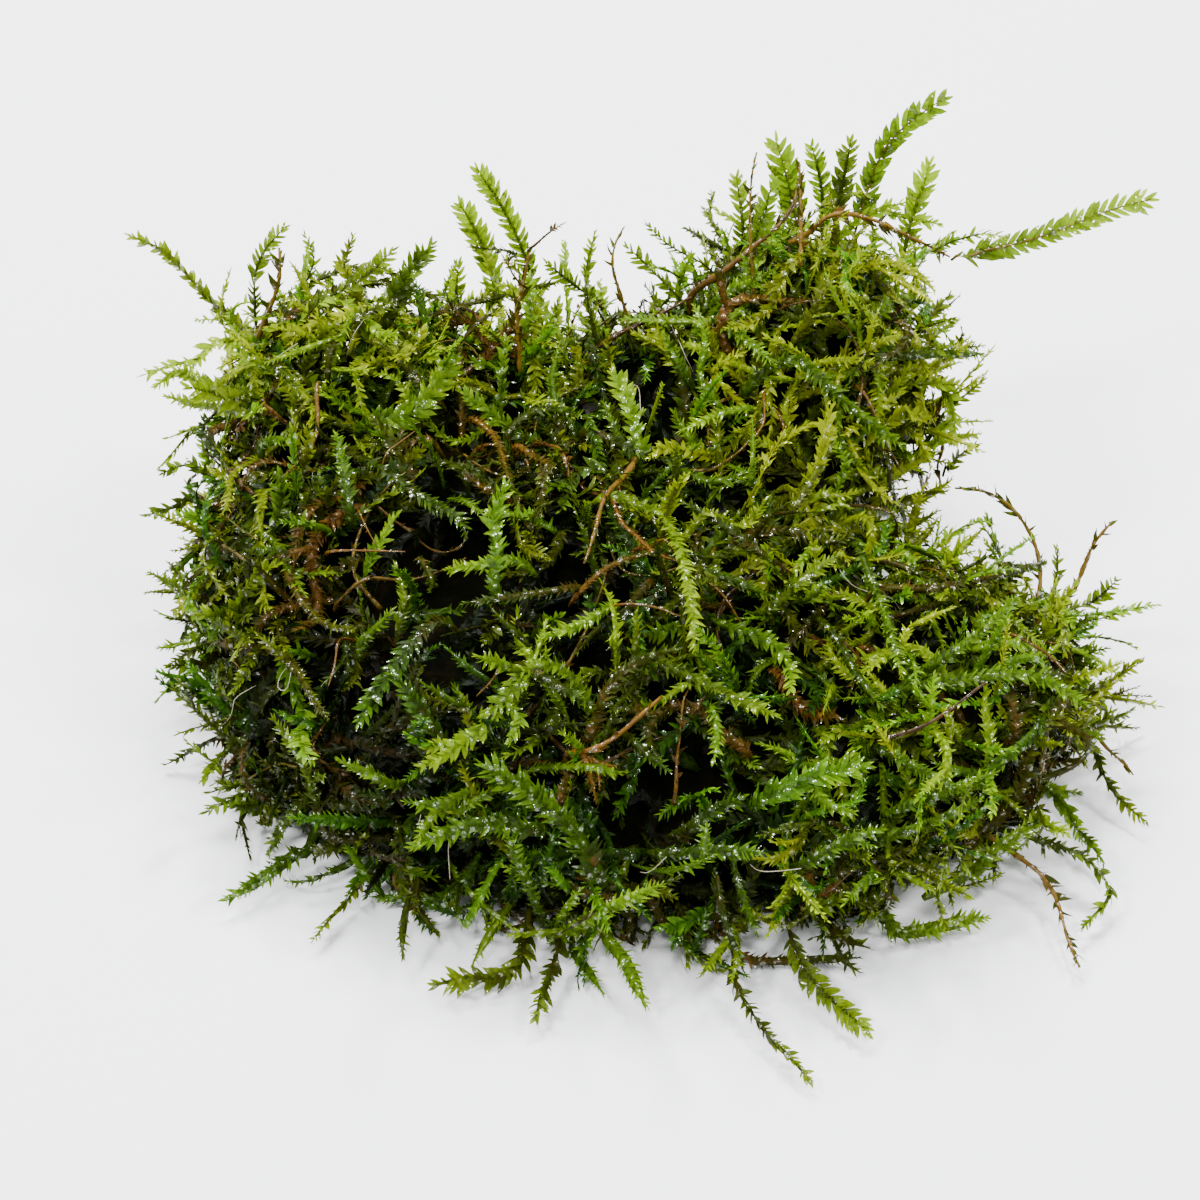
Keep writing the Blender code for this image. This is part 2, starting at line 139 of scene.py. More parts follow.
class Finish:
    """One material, made node by node."""

    def __init__(self, name):
        self.material = bpy.data.materials.new(name)
        self.material.use_nodes = True
        self.tree = self.material.node_tree
        self.tree.nodes.clear()

    def node(self, kind, settings=None, sockets=None, output=0):
        """Adds a node, with its settings first and then the values or links of its sockets."""
        made = self.tree.nodes.new(kind)
        for name, value in (settings or {}).items():
            if name == "stops":
                ramp = made.color_ramp
                while len(ramp.elements) < len(value):
                    ramp.elements.new(0.5)
                for element, (place, colour) in zip(ramp.elements, value):
                    element.position = place
                    element.color = (*colour, 1)
            else:
                setattr(made, name, value)
        for name, value in (sockets or {}).items():
            if isinstance(value, Wire):
                self.tree.links.new(value.socket, made.inputs[name])
            else:
                made.inputs[name].default_value = value
        return Wire(self, made.outputs[output])

    def outputs(self, wire, *wanted):
        """More outputs of the node that a wire comes from."""
        return [Wire(self, wire.socket.node.outputs[name]) for name in wanted]

    def mixed(self, share, first, second):
        """Two colours mixed by a share."""
        return self.node("ShaderNodeMix", {"data_type": "RGBA"}, {0: share, 6: first, 7: second}, 2)

    def blended(self, share, first, second):
        """Two shaders mixed by a share."""
        return self.node("ShaderNodeMixShader", None, {0: share, 1: first, 2: second})

    def dimmed(self, colour, share):
        return self.node("ShaderNodeVectorMath", {"operation": "SCALE"}, {0: colour, "Scale": share})

    def ramp(self, share, stops):
        return self.node("ShaderNodeValToRGB", {"stops": stops}, {"Fac": share})

    def place(self):
        return self.node("ShaderNodeTexCoord", None, None, "Object")

    def noise(self, scale, detail=2):
        sockets = {"Vector": self.place(), "Scale": scale, "Detail": detail}
        return self.node("ShaderNodeTexNoise", None, sockets)

    def bump(self, height, depth, strength=1.0):
        return self.node("ShaderNodeBump", None, {"Height": height, "Distance": depth, "Strength": strength})

    def skin(self, colour, roughness, specular=0.5, normal=None):
        """The shader of a lit skin."""
        sockets = {"Base Color": colour, "Roughness": roughness, "Specular IOR Level": specular}
        if normal:
            sockets["Normal"] = normal
        return self.node("ShaderNodeBsdfPrincipled", None, sockets)

    def shown(self, shader):
        end = self.tree.nodes.new("ShaderNodeOutputMaterial")
        self.tree.links.new(shader.socket, end.inputs["Surface"])
        return self.material


def welded(node):
    """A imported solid's mesh as one closed bmesh, because the solid itself is loose triangles."""
    mesh = bmesh.new()
    mesh.from_mesh(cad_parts[node].data)
    bmesh.ops.remove_doubles(mesh, verts=mesh.verts, dist=WELD)
    return mesh


def eased(mesh, rounds):
    """Evens a bmesh's small ridges out."""
    for _ in range(rounds):
        bmesh.ops.smooth_vert(
            mesh, verts=mesh.verts, factor=0.5, use_axis_x=True, use_axis_y=True, use_axis_z=True
        )
    mesh.normal_update()
    return mesh


def piece(name, mesh_data, materials, slot, *nodes):
    """A finished piece on the clump's one body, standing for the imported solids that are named."""
    made = placed(name, mesh_data)
    for material in materials:
        mesh_data.materials.append(material)
    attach(made, "root")
    if nodes:
        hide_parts(*nodes)


def on_mat(across, down):
    """The place on the mat that a pixel shows, and the way that the mat faces there."""
    ray = sight(across, down)
    place, normal, _, _ = surface.ray_cast(viewpoint, ray)
    if place is not None:
        return place, normal
    steps = range(-SEARCH_REACH, SEARCH_REACH + 1)
    beside = [viewpoint + ray * (DISTANCE + step * MM) for step in steps]
    nearest = min(beside, key=lambda point: surface.find_nearest(point)[3])
    return nearest, surface.find_nearest(nearest)[1]


def hollow_share(place):
    """How far a place lies in one of the mat's hollows: 0 outside, 1 in the middle."""
    return max(math.exp(-(((place - middle).length / radius) ** 2)) for middle, radius in hollows)


def rotten_core_and_shade_finish():
    """Rotten stems and leaves without a shine, wet and painted near black as the shade deep in the mat."""
    finish = Finish("old_growth_shade")
    # Painted shade: these colours are near black to stand for the shade inside the mat.
    stops = [
        (0.3, (0.0008, 0.0010, 0.0003)),
        (0.55, (0.002, 0.002, 0.0006)),
        (0.8, (0.008, 0.005, 0.0015)),
    ]
    litter = finish.bump(finish.noise(1600), 0.3 * MM, 0.6)
    return finish.shown(finish.skin(finish.ramp(finish.noise(420, 4), stops), 0.9, 0.02, litter))


drape = eased(welded("moss_mat"), EASE_ROUNDS)
surface = BVHTree.FromBMesh(drape)
hollows = [(on_mat(*pixel)[0], radius * MM) for pixel, radius in HOLLOWS]
core = drape.copy()
for vert, outer in zip(core.verts, drape.verts):
    across = surface.ray_cast(outer.co - outer.normal * WELD, -outer.normal)[3] or CORE_DEPTH
    depth = min(CORE_SHARE * across, CORE_DEPTH * (1 + HOLLOW_SINK * hollow_share(outer.co)))
    vert.co = outer.co - outer.normal * depth
core_mesh = bpy.data.meshes.new("old_growth_shade")
eased(core, EASE_ROUNDS).to_mesh(core_mesh)
core.free()
piece("old_growth_shade", core_mesh, [rotten_core_and_shade_finish()], "moss", "moss_mat")

# The short shoots that are woven into the mat
# Each is a thread-thin stem with two flat rows of pointed leaves, one cell thick, and lies over
# the older ones with its tip free. They are joined to a mesh for each layer.
STEP = 1.0 * MM
FINE = 0.25 * MM
CORNER_CUTS = 3
SEED = 20
FLOOR_GAP = 0.02 * MM

# The chart of the looks has a row for each shade and hue, with a rim left free round each.
SHADES = 4
HUES = 3
CHART_WIDTH = 0.96
CHART_RIM = 0.01
LEAF_WIDTH = 0.004
ROW_HEIGHT = 0.8
ROW_RIM = 0.1

chance = np.random.default_rng(SEED)


def template(mesh):
    """A small bmesh as places and triangles, to be copied many times."""
    bmesh.ops.triangulate(mesh, faces=mesh.faces)
    mesh.verts.index_update()
    places = np.array([vert.co[:] for vert in mesh.verts])
    faces = np.array([[vert.index for vert in face.verts] for face in mesh.faces])
    mesh.free()
    return places, faces


def leaf_blade(columns, rows, sharpness):
    """One leaf lying along Y, from its broad foot at 0 to its point at 1."""
    mesh = bmesh.new()
    bmesh.ops.create_grid(mesh, x_segments=columns, y_segments=rows, size=1)
    for vert in mesh.verts:
        along = (vert.co.y + 1) / 2
        vert.co = (vert.co.x * math.cos(math.pi / 2 * along) ** sharpness, along, 0)
    bmesh.ops.remove_doubles(mesh, verts=mesh.verts, dist=0.001)
    return template(mesh)


@lru_cache(maxsize=None)
def stem_tube(corners, rings):
    """A tube of unit radius along Z with its rings at 0, 1, 2 and so on, closed at both ends."""
    mesh = bmesh.new()
    bmesh.ops.create_grid(mesh, x_segments=corners, y_segments=rings, size=1)
    for vert in mesh.verts:
        turn = -math.pi * vert.co.x
        vert.co = (math.cos(turn), math.sin(turn), round((vert.co.y + 1) / 2 * rings))
    bmesh.ops.remove_doubles(mesh, verts=mesh.verts, dist=0.001)
    bmesh.ops.holes_fill(mesh, edges=mesh.edges, sides=corners)
    return template(mesh)


def unit(vectors):
    return vectors / np.maximum(np.linalg.norm(vectors, axis=-1, keepdims=True), 1e-12)


def square_to(ways, vectors):
    """The part of some vectors that is square to some ways, at unit length."""
    return unit(vectors - ways * (vectors * ways).sum(-1, keepdims=True))


def evened(points, facing, step):
    """A route with its corners cut off: its lengths, places, ways, facings and sides."""
    rows = np.hstack([points, facing])
    for _ in range(CORNER_CUTS):
        inner = np.empty((2 * len(rows) - 2, rows.shape[1]))
        inner[0::2] = 0.75 * rows[:-1] + 0.25 * rows[1:]
        inner[1::2] = 0.25 * rows[:-1] + 0.75 * rows[1:]
        rows = np.vstack([rows[:1], inner, rows[-1:]])
    gone = np.concatenate([[0], np.cumsum(np.linalg.norm(np.diff(rows[:, :3], axis=0), axis=1))])
    wanted = np.linspace(0, gone[-1], max(4, round(gone[-1] / step)) + 1)
    rows = np.column_stack([np.interp(wanted, gone, column) for column in rows.T])
    way = unit(np.gradient(rows[:, :3], axis=0))
    out = square_to(way, rows[:, 3:])
    return wanted, rows[:, :3], way, out, np.cross(way, out)


class Bundle:
    """Leaves and stems gathered as arrays, to be joined in one mesh."""

    def __init__(self):
        self.points = []
        self.faces = []
        self.looks = []
        self.kinds = []
        self.count = 0

    def add(self, points, faces, looks, kind):
        """Adds n copies of m points, with (n, m, 4) looks: freshness, painted shade, warmth and place along.
        """
        copies, size = points.shape[:2]
        shift = self.count + size * np.arange(copies)[:, None, None]
        self.faces.append((faces[None] + shift).reshape(-1, 3))
        self.points.append(points.reshape(-1, 3))
        self.looks.append(looks.reshape(-1, 4))
        self.kinds.append(np.full(copies * len(faces), kind))
        self.count += copies * size

    def mesh(self, name):
        points = np.vstack(self.points)
        points[:, 2] = np.maximum(points[:, 2], FLOOR_GAP)
        faces = np.vstack(self.faces)
        looks = np.clip(np.vstack(self.looks), 0, 1)
        kinds = np.concatenate(self.kinds)
        made = bpy.data.meshes.new(name)
        made.from_pydata(points, [], faces)
        made.polygons.foreach_set("material_index", kinds.astype(np.int32))
        made.shade_smooth()
        look = made.attributes.new("look", "FLOAT_COLOR", "POINT")
        look.data.foreach_set("color", looks.astype(np.float32).ravel())
        made.uv_layers.new(name="OFBake").data.foreach_set("uv", self.chart(faces, looks, kinds))
        made.update()
        return made

    def chart(self, faces, looks, kinds):
        """Each corner's place on a chart of the looks, so that like leaves share one patch of it."""
        corner = looks[faces.ravel()]
        first = np.repeat(looks[faces[:, 0]], 3, axis=0)
        shade = np.minimum((first[:, 1] * SHADES).astype(int), SHADES - 1)
        hue = np.minimum((first[:, 2] * HUES).astype(int), HUES - 1)
        row = (np.repeat(kinds, 3) * SHADES + shade) * HUES + hue
        across = CHART_RIM + CHART_WIDTH * corner[:, 0] + LEAF_WIDTH * np.tile([0, 1, 2], len(faces))
        down = (row + ROW_RIM + ROW_HEIGHT * corner[:, 3]) / (2 * SHADES * HUES)
        return np.column_stack([across, down]).astype(np.float32).ravel()


def stem_on(bundle, route, thick, wide, corners, look, kind=1):
    """A thin stem along an evened route, with its two half measures at each ring."""
    _, path, _, out, side = route
    places, faces = stem_tube(corners, len(path) - 1)
    ring = places[:, 2].astype(int)
    points = path[ring] + out[ring] * places[:, :1] * thick[ring, None]
    points += side[ring] * places[:, 1:2] * wide[ring, None]
    looks = np.empty((1, len(points), 4))
    looks[..., :3] = look
    looks[..., 3] = ring / ring.max()
    bundle.add(points[None], faces, looks, kind)


# How a kind of shoot grows. The leaf's slimness is its breadth over its length, its opening is in
# degrees from the stem, and the lengths are in mm. Where the feet of the leaves run together, the
# body is the share of the half breadth that they fill.
Habit = namedtuple("Habit", "leaf pitch slim opening wild body stem corners stem_step stem_fresh")

# A shoot's leaves are small at its foot, full in the middle, and small and nearly closed in the
# bud. Sizes are shares of a full leaf, angles are in radians, and the bud's opening is in degrees.
BUD_OPENING = 15
BUD_LENGTH = 1.2 * MM
FOOT_SIZE = 0.6
FOOT_LENGTH = 5 * MM
TIP_SIZE = 0.55
TIP_LENGTH = 4 * MM
LEAST_LEAVES = 6
LEAF_STRAY = 0.35
LEAF_LIFT = 0.15
LEAF_ROLL = 0.2
LEAF_CURL = -0.08
CURL_SPREAD = 0.16
LEAF_BEND = 0.14
LEAF_SIZE = 1.15
LEAF_BREADTHS = (0.8, 1.3)
LEAF_CUPS = (0.1, 0.5)
FRESH_RISE = 0.32
FRESH_MIDDLE = 0.6
STEM_TIP = 0.4
STEM_KNOBS = (0.75, 1.3)
BODY_FOOT = 3 * MM
BODY_TIP = 2.5 * MM
LEAST_BODY = 0.12


def shoot_on(bundle, habit, points, facing, breadth, look, bare=0.05, stem=None):
    """A leafy shoot: its stem, and two rows of leaves that close to a pointed bud at the tip."""
    points = np.column_stack([points[:, :2], np.maximum(points[:, 2], breadth)])
    gone, path, way, out, _ = evened(points, facing, FINE)
    length = gone[-1]
    leaves = max(LEAST_LEAVES, 2 * round(length * (1 - bare) / (habit.pitch * MM)))
    stray = chance.uniform(-LEAF_STRAY, LEAF_STRAY, leaves)
    share = bare + (1 - bare) * (np.arange(leaves) + stray + 0.6) / leaves
    place = np.clip(share, 0, 1) * length

    def at(columns):
        return np.column_stack([np.interp(place, gone, column) for column in columns.T])

    base = at(path)
    forward = unit(at(way))
    upward = square_to(forward, at(out))
    hand = np.where(np.arange(leaves) % 2, 1.0, -1.0)[:, None]
    sideward = np.cross(forward, upward) * hand
    left = length - place
    opening = BUD_OPENING + (habit.opening - BUD_OPENING) * np.clip(left / BUD_LENGTH, 0, 1)
    opening = (np.radians(opening) + chance.normal(0, 0.5 * habit.wild, leaves))[:, None]
    lift = chance.normal(LEAF_LIFT, habit.wild, leaves)[:, None]
    sidelong = sideward * np.cos(lift) + upward * np.sin(lift)
    leaf_way = unit(np.cos(opening) * forward + np.sin(opening) * sidelong)
    leaf_out = square_to(leaf_way, upward * np.cos(lift) - sideward * np.sin(lift))
    across = np.cross(leaf_way, leaf_out)
    roll = chance.normal(LEAF_ROLL, habit.wild, leaves)[:, None] * hand
    rolled_out = leaf_out * np.cos(roll) + across * np.sin(roll)
    rolled_across = across * np.cos(roll) - leaf_out * np.sin(roll)
    grown = np.minimum(FOOT_SIZE + (place - bare * length) / FOOT_LENGTH, TIP_SIZE + left / TIP_LENGTH)
    long = breadth / math.sin(math.radians(habit.opening)) * np.minimum(1, grown)
    long = (long * chance.uniform(1 - habit.wild, LEAF_SIZE, leaves))[:, None, None]
    wide = 0.5 * habit.slim * long * chance.uniform(*LEAF_BREADTHS, leaves)[:, None, None]
    x = habit.leaf[0][None, :, :1]
    y = habit.leaf[0][None, :, 1:2]
    curl = chance.normal(LEAF_CURL, CURL_SPREAD, leaves)[:, None, None]
    cup = chance.uniform(*LEAF_CUPS, leaves)[:, None, None]
    leaf = (
        base[:, None]
        + leaf_way[:, None] * long * y
        + rolled_across[:, None] * wide * x
        + rolled_out[:, None] * (long * curl * y * y + wide * cup * np.abs(x))
        + forward[:, None] * long * LEAF_BEND * y * y
    )
    looks = np.empty((leaves, len(habit.leaf[0]), 4))
    fresh = look[0] + FRESH_RISE * (share - FRESH_MIDDLE) + chance.normal(0, 0.05, leaves)
    looks[..., 0] = fresh[:, None]
    looks[..., 1:3] = look[1:]
    looks[..., 3] = y[..., 0]
    bundle.add(leaf, habit.leaf[1], looks, 0)
    route = evened(points, facing, habit.stem_step * MM)
    rings = len(route[0])
    thick = (stem or habit.stem * MM) * np.linspace(1, STEM_TIP, rings) * chance.uniform(*STEM_KNOBS, rings)
    stem_look = (look[0] + habit.stem_fresh, *look[1:])
    if habit.body:
        wide = np.minimum(0.5 + route[0] / BODY_FOOT, (length - route[0]) / BODY_TIP)
        wide = habit.body * breadth * np.clip(wide, LEAST_BODY, 1)
        stem_on(bundle, route, thick, wide, habit.corners, stem_look, 0)
    else:
        stem_on(bundle, route, thick, thick, habit.corners, stem_look, 1)


LEAST_STEPS = 5
FIRST_TURN = 0.12
FIRST_ROLL = 0.6
TWIST = 1.1
ROOT_SINK = 2.0 * MM
# How far a root starts behind its place, in mm.
ROOT_BACK = 1.5
RISE_FROM = 0.45
RISE_GAIN = 3.3
SINK_LOSS = 0.3
WAVE_PACE = 0.55
LIGHTWARD = 0.35
TURN_KEPT = 0.9
SWERVE = 0.08
NORMAL_KEPT = 0.6


def woven_route(start, normal, way, length, sink, lift, wave):
    """A shoot's route over the mat: up out of it, in and out along it, and off it at the tip."""
    count = max(LEAST_STEPS, int(length / STEP))
    turn = chance.normal(0, FIRST_TURN)
    roll = chance.normal(0, FIRST_ROLL)
    twist = chance.normal(0, TWIST)
    phase = chance.uniform(0, 2 * math.pi)
    points = [start - normal * (sink + ROOT_SINK) - way * ROOT_BACK * MM]
    facing = [normal.copy()]
    position = start.copy()
    for i in range(count):
        share = i / (count - 1)
        rise = lift * max(0, share - RISE_FROM) ** 2 * RISE_GAIN - sink * (1 - SINK_LOSS * share)
        rise += wave * math.sin(phase + i * WAVE_PACE)
        points.append(position + normal * rise)
        sideways = normal.cross(way) * (roll + twist * (share - 0.5))
        facing.append(normal + sideways + Vector((0, 0, LIGHTWARD)))
        turn = TURN_KEPT * turn + chance.normal(0, SWERVE)
        way = (way + normal.cross(way) * turn).normalized()
        position, near_normal, _, _ = surface.find_nearest(position + way * STEP)
        normal = (normal * NORMAL_KEPT + near_normal * (1 - NORMAL_KEPT)).normalized()
        way = (way - normal * way.dot(normal)).normalized()
    return np.array(points), np.array(facing)


SIDE_POINTS = 5
SIDE_SPREADS = (0.5, 1.1)
SIDE_BEND = 0.25


def side_route(points, facing, length):
    """The route of a short side shoot that forks off another one."""
    fork = chance.integers(len(points) // 3, len(points) - 1)
    way = unit(points[fork] - points[fork - 1])
    out = square_to(way, facing[fork])
    side = np.cross(way, out) * chance.choice([-1, 1])
    heading = unit(way + side * chance.uniform(*SIDE_SPREADS) + out * chance.normal(0.1, SIDE_BEND))
    steps = np.linspace(0, 1, SIDE_POINTS)[:, None]
    bend = side * chance.normal(0, SIDE_BEND) + out * chance.normal(0, SIDE_BEND)
    return points[fork] + (heading * steps + bend * steps**2) * length, np.tile(out, (SIDE_POINTS, 1))


TRIES = 60


def scattered(count, gap):
    """Starting places on the mat, evenly at random by area and no closer than a gap."""
    faces = [(face.calc_area(), face.calc_center_median()) for face in drape.faces]
    area = np.array([row[0] for row in faces])
    kept = np.empty((0, 3))
    chosen = []
    for pick in chance.choice(len(faces), size=count * TRIES, p=area / area.sum()):
        centre = faces[pick][1] + Vector(chance.normal(0, MM, 3))
        place, normal, _, _ = surface.find_nearest(centre)
        if len(kept) and np.min(np.linalg.norm(kept - np.array(place), axis=1)) < gap:
            continue
        kept = np.vstack([kept, place])
        chosen.append((place, normal))
        if len(chosen) == count:
            break
    return chosen


OUTWARD = 14
UPWARD = 0.3
DISORDER = 0.75


def growing_way(place, normal):
    """The way that a shoot runs from a place: outwards and up from the middle, with much disorder."""
    outward = Vector((place.x, place.y, 0)) * OUTWARD
    wish = outward + Vector((0, 0, UPWARD)) + Vector(chance.normal(0, DISORDER, 3))
    wish -= normal * wish.dot(normal)
    return wish.normalized()


# How fresh and how warm the moss looks about a pixel, from dark to lime and from emerald to olive,
# what share of its shoots has open leaves, and how much painted shade darkens it.
REGIONS = [
    ((250, 330), 1.05, 0.75, 0.7, 0.00),
    ((350, 340), 0.94, 0.85, 0.6, 0.00),
    ((220, 470), 0.78, 0.85, 0.7, 0.05),
    ((230, 600), 0.64, 0.80, 0.6, 0.15),
    ((300, 780), 0.50, 0.50, 0.4, 0.58),
    ((360, 420), 0.68, 0.40, 0.4, 0.00),
    ((440, 620), 0.45, 0.35, 0.2, 0.78),
    ((370, 710), 0.50, 0.35, 0.2, 0.64),
    ((560, 480), 0.52, 0.60, 0.1, 0.10),
    ((520, 320), 0.80, 0.70, 0.5, 0.00),
    ((640, 330), 0.62, 0.60, 0.3, 0.00),
    ((680, 600), 0.56, 0.60, 0.0, 0.05),
    ((560, 760), 0.60, 0.20, 0.1, 0.05),
    ((600, 880), 0.62, 0.30, 0.1, 0.10),
    ((720, 830), 0.58, 0.15, 0.1, 0.05),
    ((800, 480), 0.92, 0.95, 0.2, 0.00),
    ((850, 300), 0.90, 0.70, 0.4, 0.00),
    ((900, 440), 0.92, 0.95, 0.6, 0.00),
    ((790, 620), 0.62, 0.30, 0.0, 0.05),
    ((860, 700), 0.86, 0.35, 0.0, 0.00),
    ((960, 700), 0.98, 0.40, 0.1, 0.00),
    ((900, 850), 0.60, 0.35, 0.2, 0.10),
    ((1020, 640), 0.66, 0.95, 0.4, 0.00),
    ((1040, 800), 0.62, 0.95, 0.5, 0.00),
]
region_places = [(on_mat(*row[0])[0], np.array(row[1:])) for row in REGIONS]
REGION_RIM = 3 * MM
UNDERSIDE = -0.3
UNDER_FADE = 0.75
UNDER_WARM = 0.3
DEPTH_FADE = 0.1
FRESH_SPREAD = 0.12
LEAST_FRESH = 0.4
WARM_SPREAD = 0.4
WARM_LOSS = 0.05

# A finish's tones: (freshness, colour of a cool shoot, colour of a warm one).
LEAF_TONES = [
    (0.0, (0.020, 0.010, 0.002), (0.040, 0.017, 0.002)),
    (0.15, (0.070, 0.038, 0.006), (0.150, 0.066, 0.007)),
    (0.3, (0.016, 0.026, 0.0015), (0.060, 0.043, 0.002)),
    (0.45, (0.011, 0.038, 0.0008), (0.034, 0.042, 0.0008)),
    (0.62, (0.034, 0.108, 0.0010), (0.088, 0.108, 0.0010)),
    (0.8, (0.082, 0.205, 0.0020), (0.165, 0.205, 0.0020)),
    (1.0, (0.190, 0.330, 0.0060), (0.290, 0.335, 0.0060)),
]
STEM_TONES = [
    (0.0, (0.018, 0.010, 0.002), (0.040, 0.015, 0.002)),
    (0.2, (0.085, 0.054, 0.008), (0.140, 0.064, 0.004)),
    (0.4, (0.050, 0.044, 0.004), (0.115, 0.072, 0.003)),
    (0.7, (0.080, 0.110, 0.006), (0.130, 0.110, 0.006)),
    (1.0, (0.280, 0.330, 0.030), (0.350, 0.320, 0.030)),
]
LEAF_GLOWS = [(0.012, 0.026, 0.001), (0.15, 0.50, 0.006), (0.38, 0.54, 0.008)]
LEAF_THINNESS = 0.4
BEADS = 1250
BEAD_SIZE = 0.41
BEAD_HEIGHT = 0.38 * MM
RIM_SHARPNESS = 12.0
WET_PATCHES = 450
DRY_BELOW = 0.29


def region_look(place, normal, depth):
    """A shoot's freshness, painted shade and warmth at a place, and the share of open shoots there."""
    weights = np.array([1 / ((place - middle).length + REGION_RIM) ** 3 for middle, _ in region_places])
    mixed = weights @ np.array([row for _, row in region_places]) / weights.sum()
    fresh, warm, open_share, shade = mixed
    if normal.z < UNDERSIDE:
        fresh *= UNDER_FADE
        warm += UNDER_WARM
    fresh = max(fresh + chance.normal(0, FRESH_SPREAD) - DEPTH_FADE * depth, LEAST_FRESH)
    # Painted shade: the region's shade is added to the shoot's depth of painted shade.
    return (fresh, depth + shade, warm - WARM_LOSS + chance.normal(0, WARM_SPREAD)), open_share


def look_wires(finish):
    """The wires of a shoot's freshness, painted shade, warmth and place along."""
    look = finish.node("ShaderNodeAttribute", {"attribute_name": "look"}, None, "Vector")
    fresh = finish.node("ShaderNodeSeparateXYZ", None, {"Vector": look})
    return (fresh, *finish.outputs(fresh, "Y", "Z"), *finish.outputs(look, "Alpha"))


def clamped(finish, first, second):
    """Two wires multiplied and kept between 0 and 1."""
    return finish.node("ShaderNodeMath", {"operation": "MULTIPLY", "use_clamp": True}, {0: first, 1: second})


def toned(finish, tone, warm, shade, tones):
    """A colour from two ramps over one tone, mixed by warmth and darkened by the shade."""
    cool = finish.ramp(tone, [(place, colour) for place, colour, _ in tones])
    hot = finish.ramp(tone, [(place, colour) for place, _, colour in tones])
    return finish.dimmed(finish.mixed(warm, cool, hot), 1 - shade)


def wetted(finish, colour, painted_shade, dry):
    """A dry shader under a film of water that stands in small beads, each a dome that glints."""
    cell = finish.node("ShaderNodeTexVoronoi", None, {"Vector": finish.place(), "Scale": BEADS})
    wet_patch = clamped(finish, finish.noise(WET_PATCHES) - DRY_BELOW, RIM_SHARPNESS)
    bead = clamped(finish, clamped(finish, BEAD_SIZE - cell, RIM_SHARPNESS), wet_patch)
    # Painted shade: the beads fade out where shade is painted on.
    lit_bead = clamped(finish, bead, 1 - painted_shade * 1.1)
    dome = finish.bump(0.0 - cell * cell, BEAD_HEIGHT)
    return finish.blended(lit_bead, dry, finish.skin(colour, 0.08, 1.0, dome))


def leaf_finish(name):
    """Wet moss leaf: thin enough to glow where light comes through, under a film of water."""
    finish = Finish(name)
    fresh, painted_shade, warm, along = look_wires(finish)
    grain = finish.noise(2600, 3)
    tone = fresh + (finish.noise(700) - 0.5) * 0.2 + (grain - 0.5) * 0.4 + (along - 0.4) * 0.16
    # Painted shade: the leaf colour is darkened by the painted shade.
    colour = toned(finish, tone, warm, painted_shade * 0.9, LEAF_TONES)
    blade = finish.skin(colour, 0.38, 0.09, finish.bump(grain, 0.2 * MM, 0.5))
    dull, green, lime = [
        finish.node("ShaderNodeBsdfTranslucent", None, {"Color": (*tint, 1)}) for tint in LEAF_GLOWS
    ]
    # Painted shade: less light comes through the leaf where shade is painted on.
    clearness = clamped(finish, (tone - 0.5) * 1.9, 1 - painted_shade)
    glow = finish.blended(clearness, dull, finish.blended(warm, green, lime))
    return finish.shown(wetted(finish, colour, painted_shade, finish.blended(LEAF_THINNESS, blade, glow)))


def stem_finish(name):
    """A shoot's own stem: brown to olive and glossy with water."""
    finish = Finish(name)
    fresh, painted_shade, warm, _ = look_wires(finish)
    tone = fresh + (finish.noise(900) - 0.5) * 0.25
    # Painted shade: the stem colour is darkened by the painted shade.
    colour = toned(finish, tone, warm, painted_shade * 0.8, STEM_TONES)
    bark = finish.skin(colour, 0.32, 0.14, finish.bump(finish.noise(2200), 0.2 * MM, 0.6))
    return finish.shown(wetted(finish, colour, painted_shade, bark))


FINISHES = [leaf_finish("moss_leaf"), stem_finish("moss_stem")]
kite_leaf = leaf_blade(1, 2, 1.0)
spear_leaf = leaf_blade(1, 3, 0.7)
blunt_leaf = leaf_blade(1, 3, 0.4)
broad_leaf = leaf_blade(2, 4, 0.35)
plain = Habit(kite_leaf, 0.55, 0.50, 58, 0.40, 0.60, 0.16, 4, 1.6, -0.04)
comb = Habit(spear_leaf, 0.40, 0.34, 62, 0.44, 0.50, 0.12, 4, 1.2, -0.06)
tufted = Habit(blunt_leaf, 0.48, 0.44, 54, 0.38, 0.30, 0.13, 4, 1.2, -0.12)
toothed = Habit(spear_leaf, 0.38, 0.32, 62, 0.38, 0.50, 0.12, 4, 0.8, -0.06)
coarse = Habit(blunt_leaf, 0.46, 0.36, 56, 0.30, 0.45, 0.14, 4, 0.8, -0.08)
feathered = Habit(broad_leaf, 0.62, 0.38, 52, 0.18, 0.16, 0.15, 4, 0.8, -0.25)
open_leaved = Habit(broad_leaf, 0.86, 0.40, 46, 0.12, 0.0, 0.16, 5, 0.7, -0.45)
BROWN_SHARE = 0.14
BROWN_FRESH = (0.2, 0.42)
BROWN_WARM = (0.4, 1)
HOLLOW_LOSS = 1.7
HOLLOW_EDGE = 0.4
HOLLOW_CUT = 0.85
HOLLOW_DROP = 1.5
SIDE_LENGTHS = (3.5, 8)
SIDE_BREADTH = 0.85
SIDE_FRESH = 0.08
# The layers with less painted shade than the first of these are outer ones, and from the second on deep.
OUTER = 0.4
DEEP = 0.6

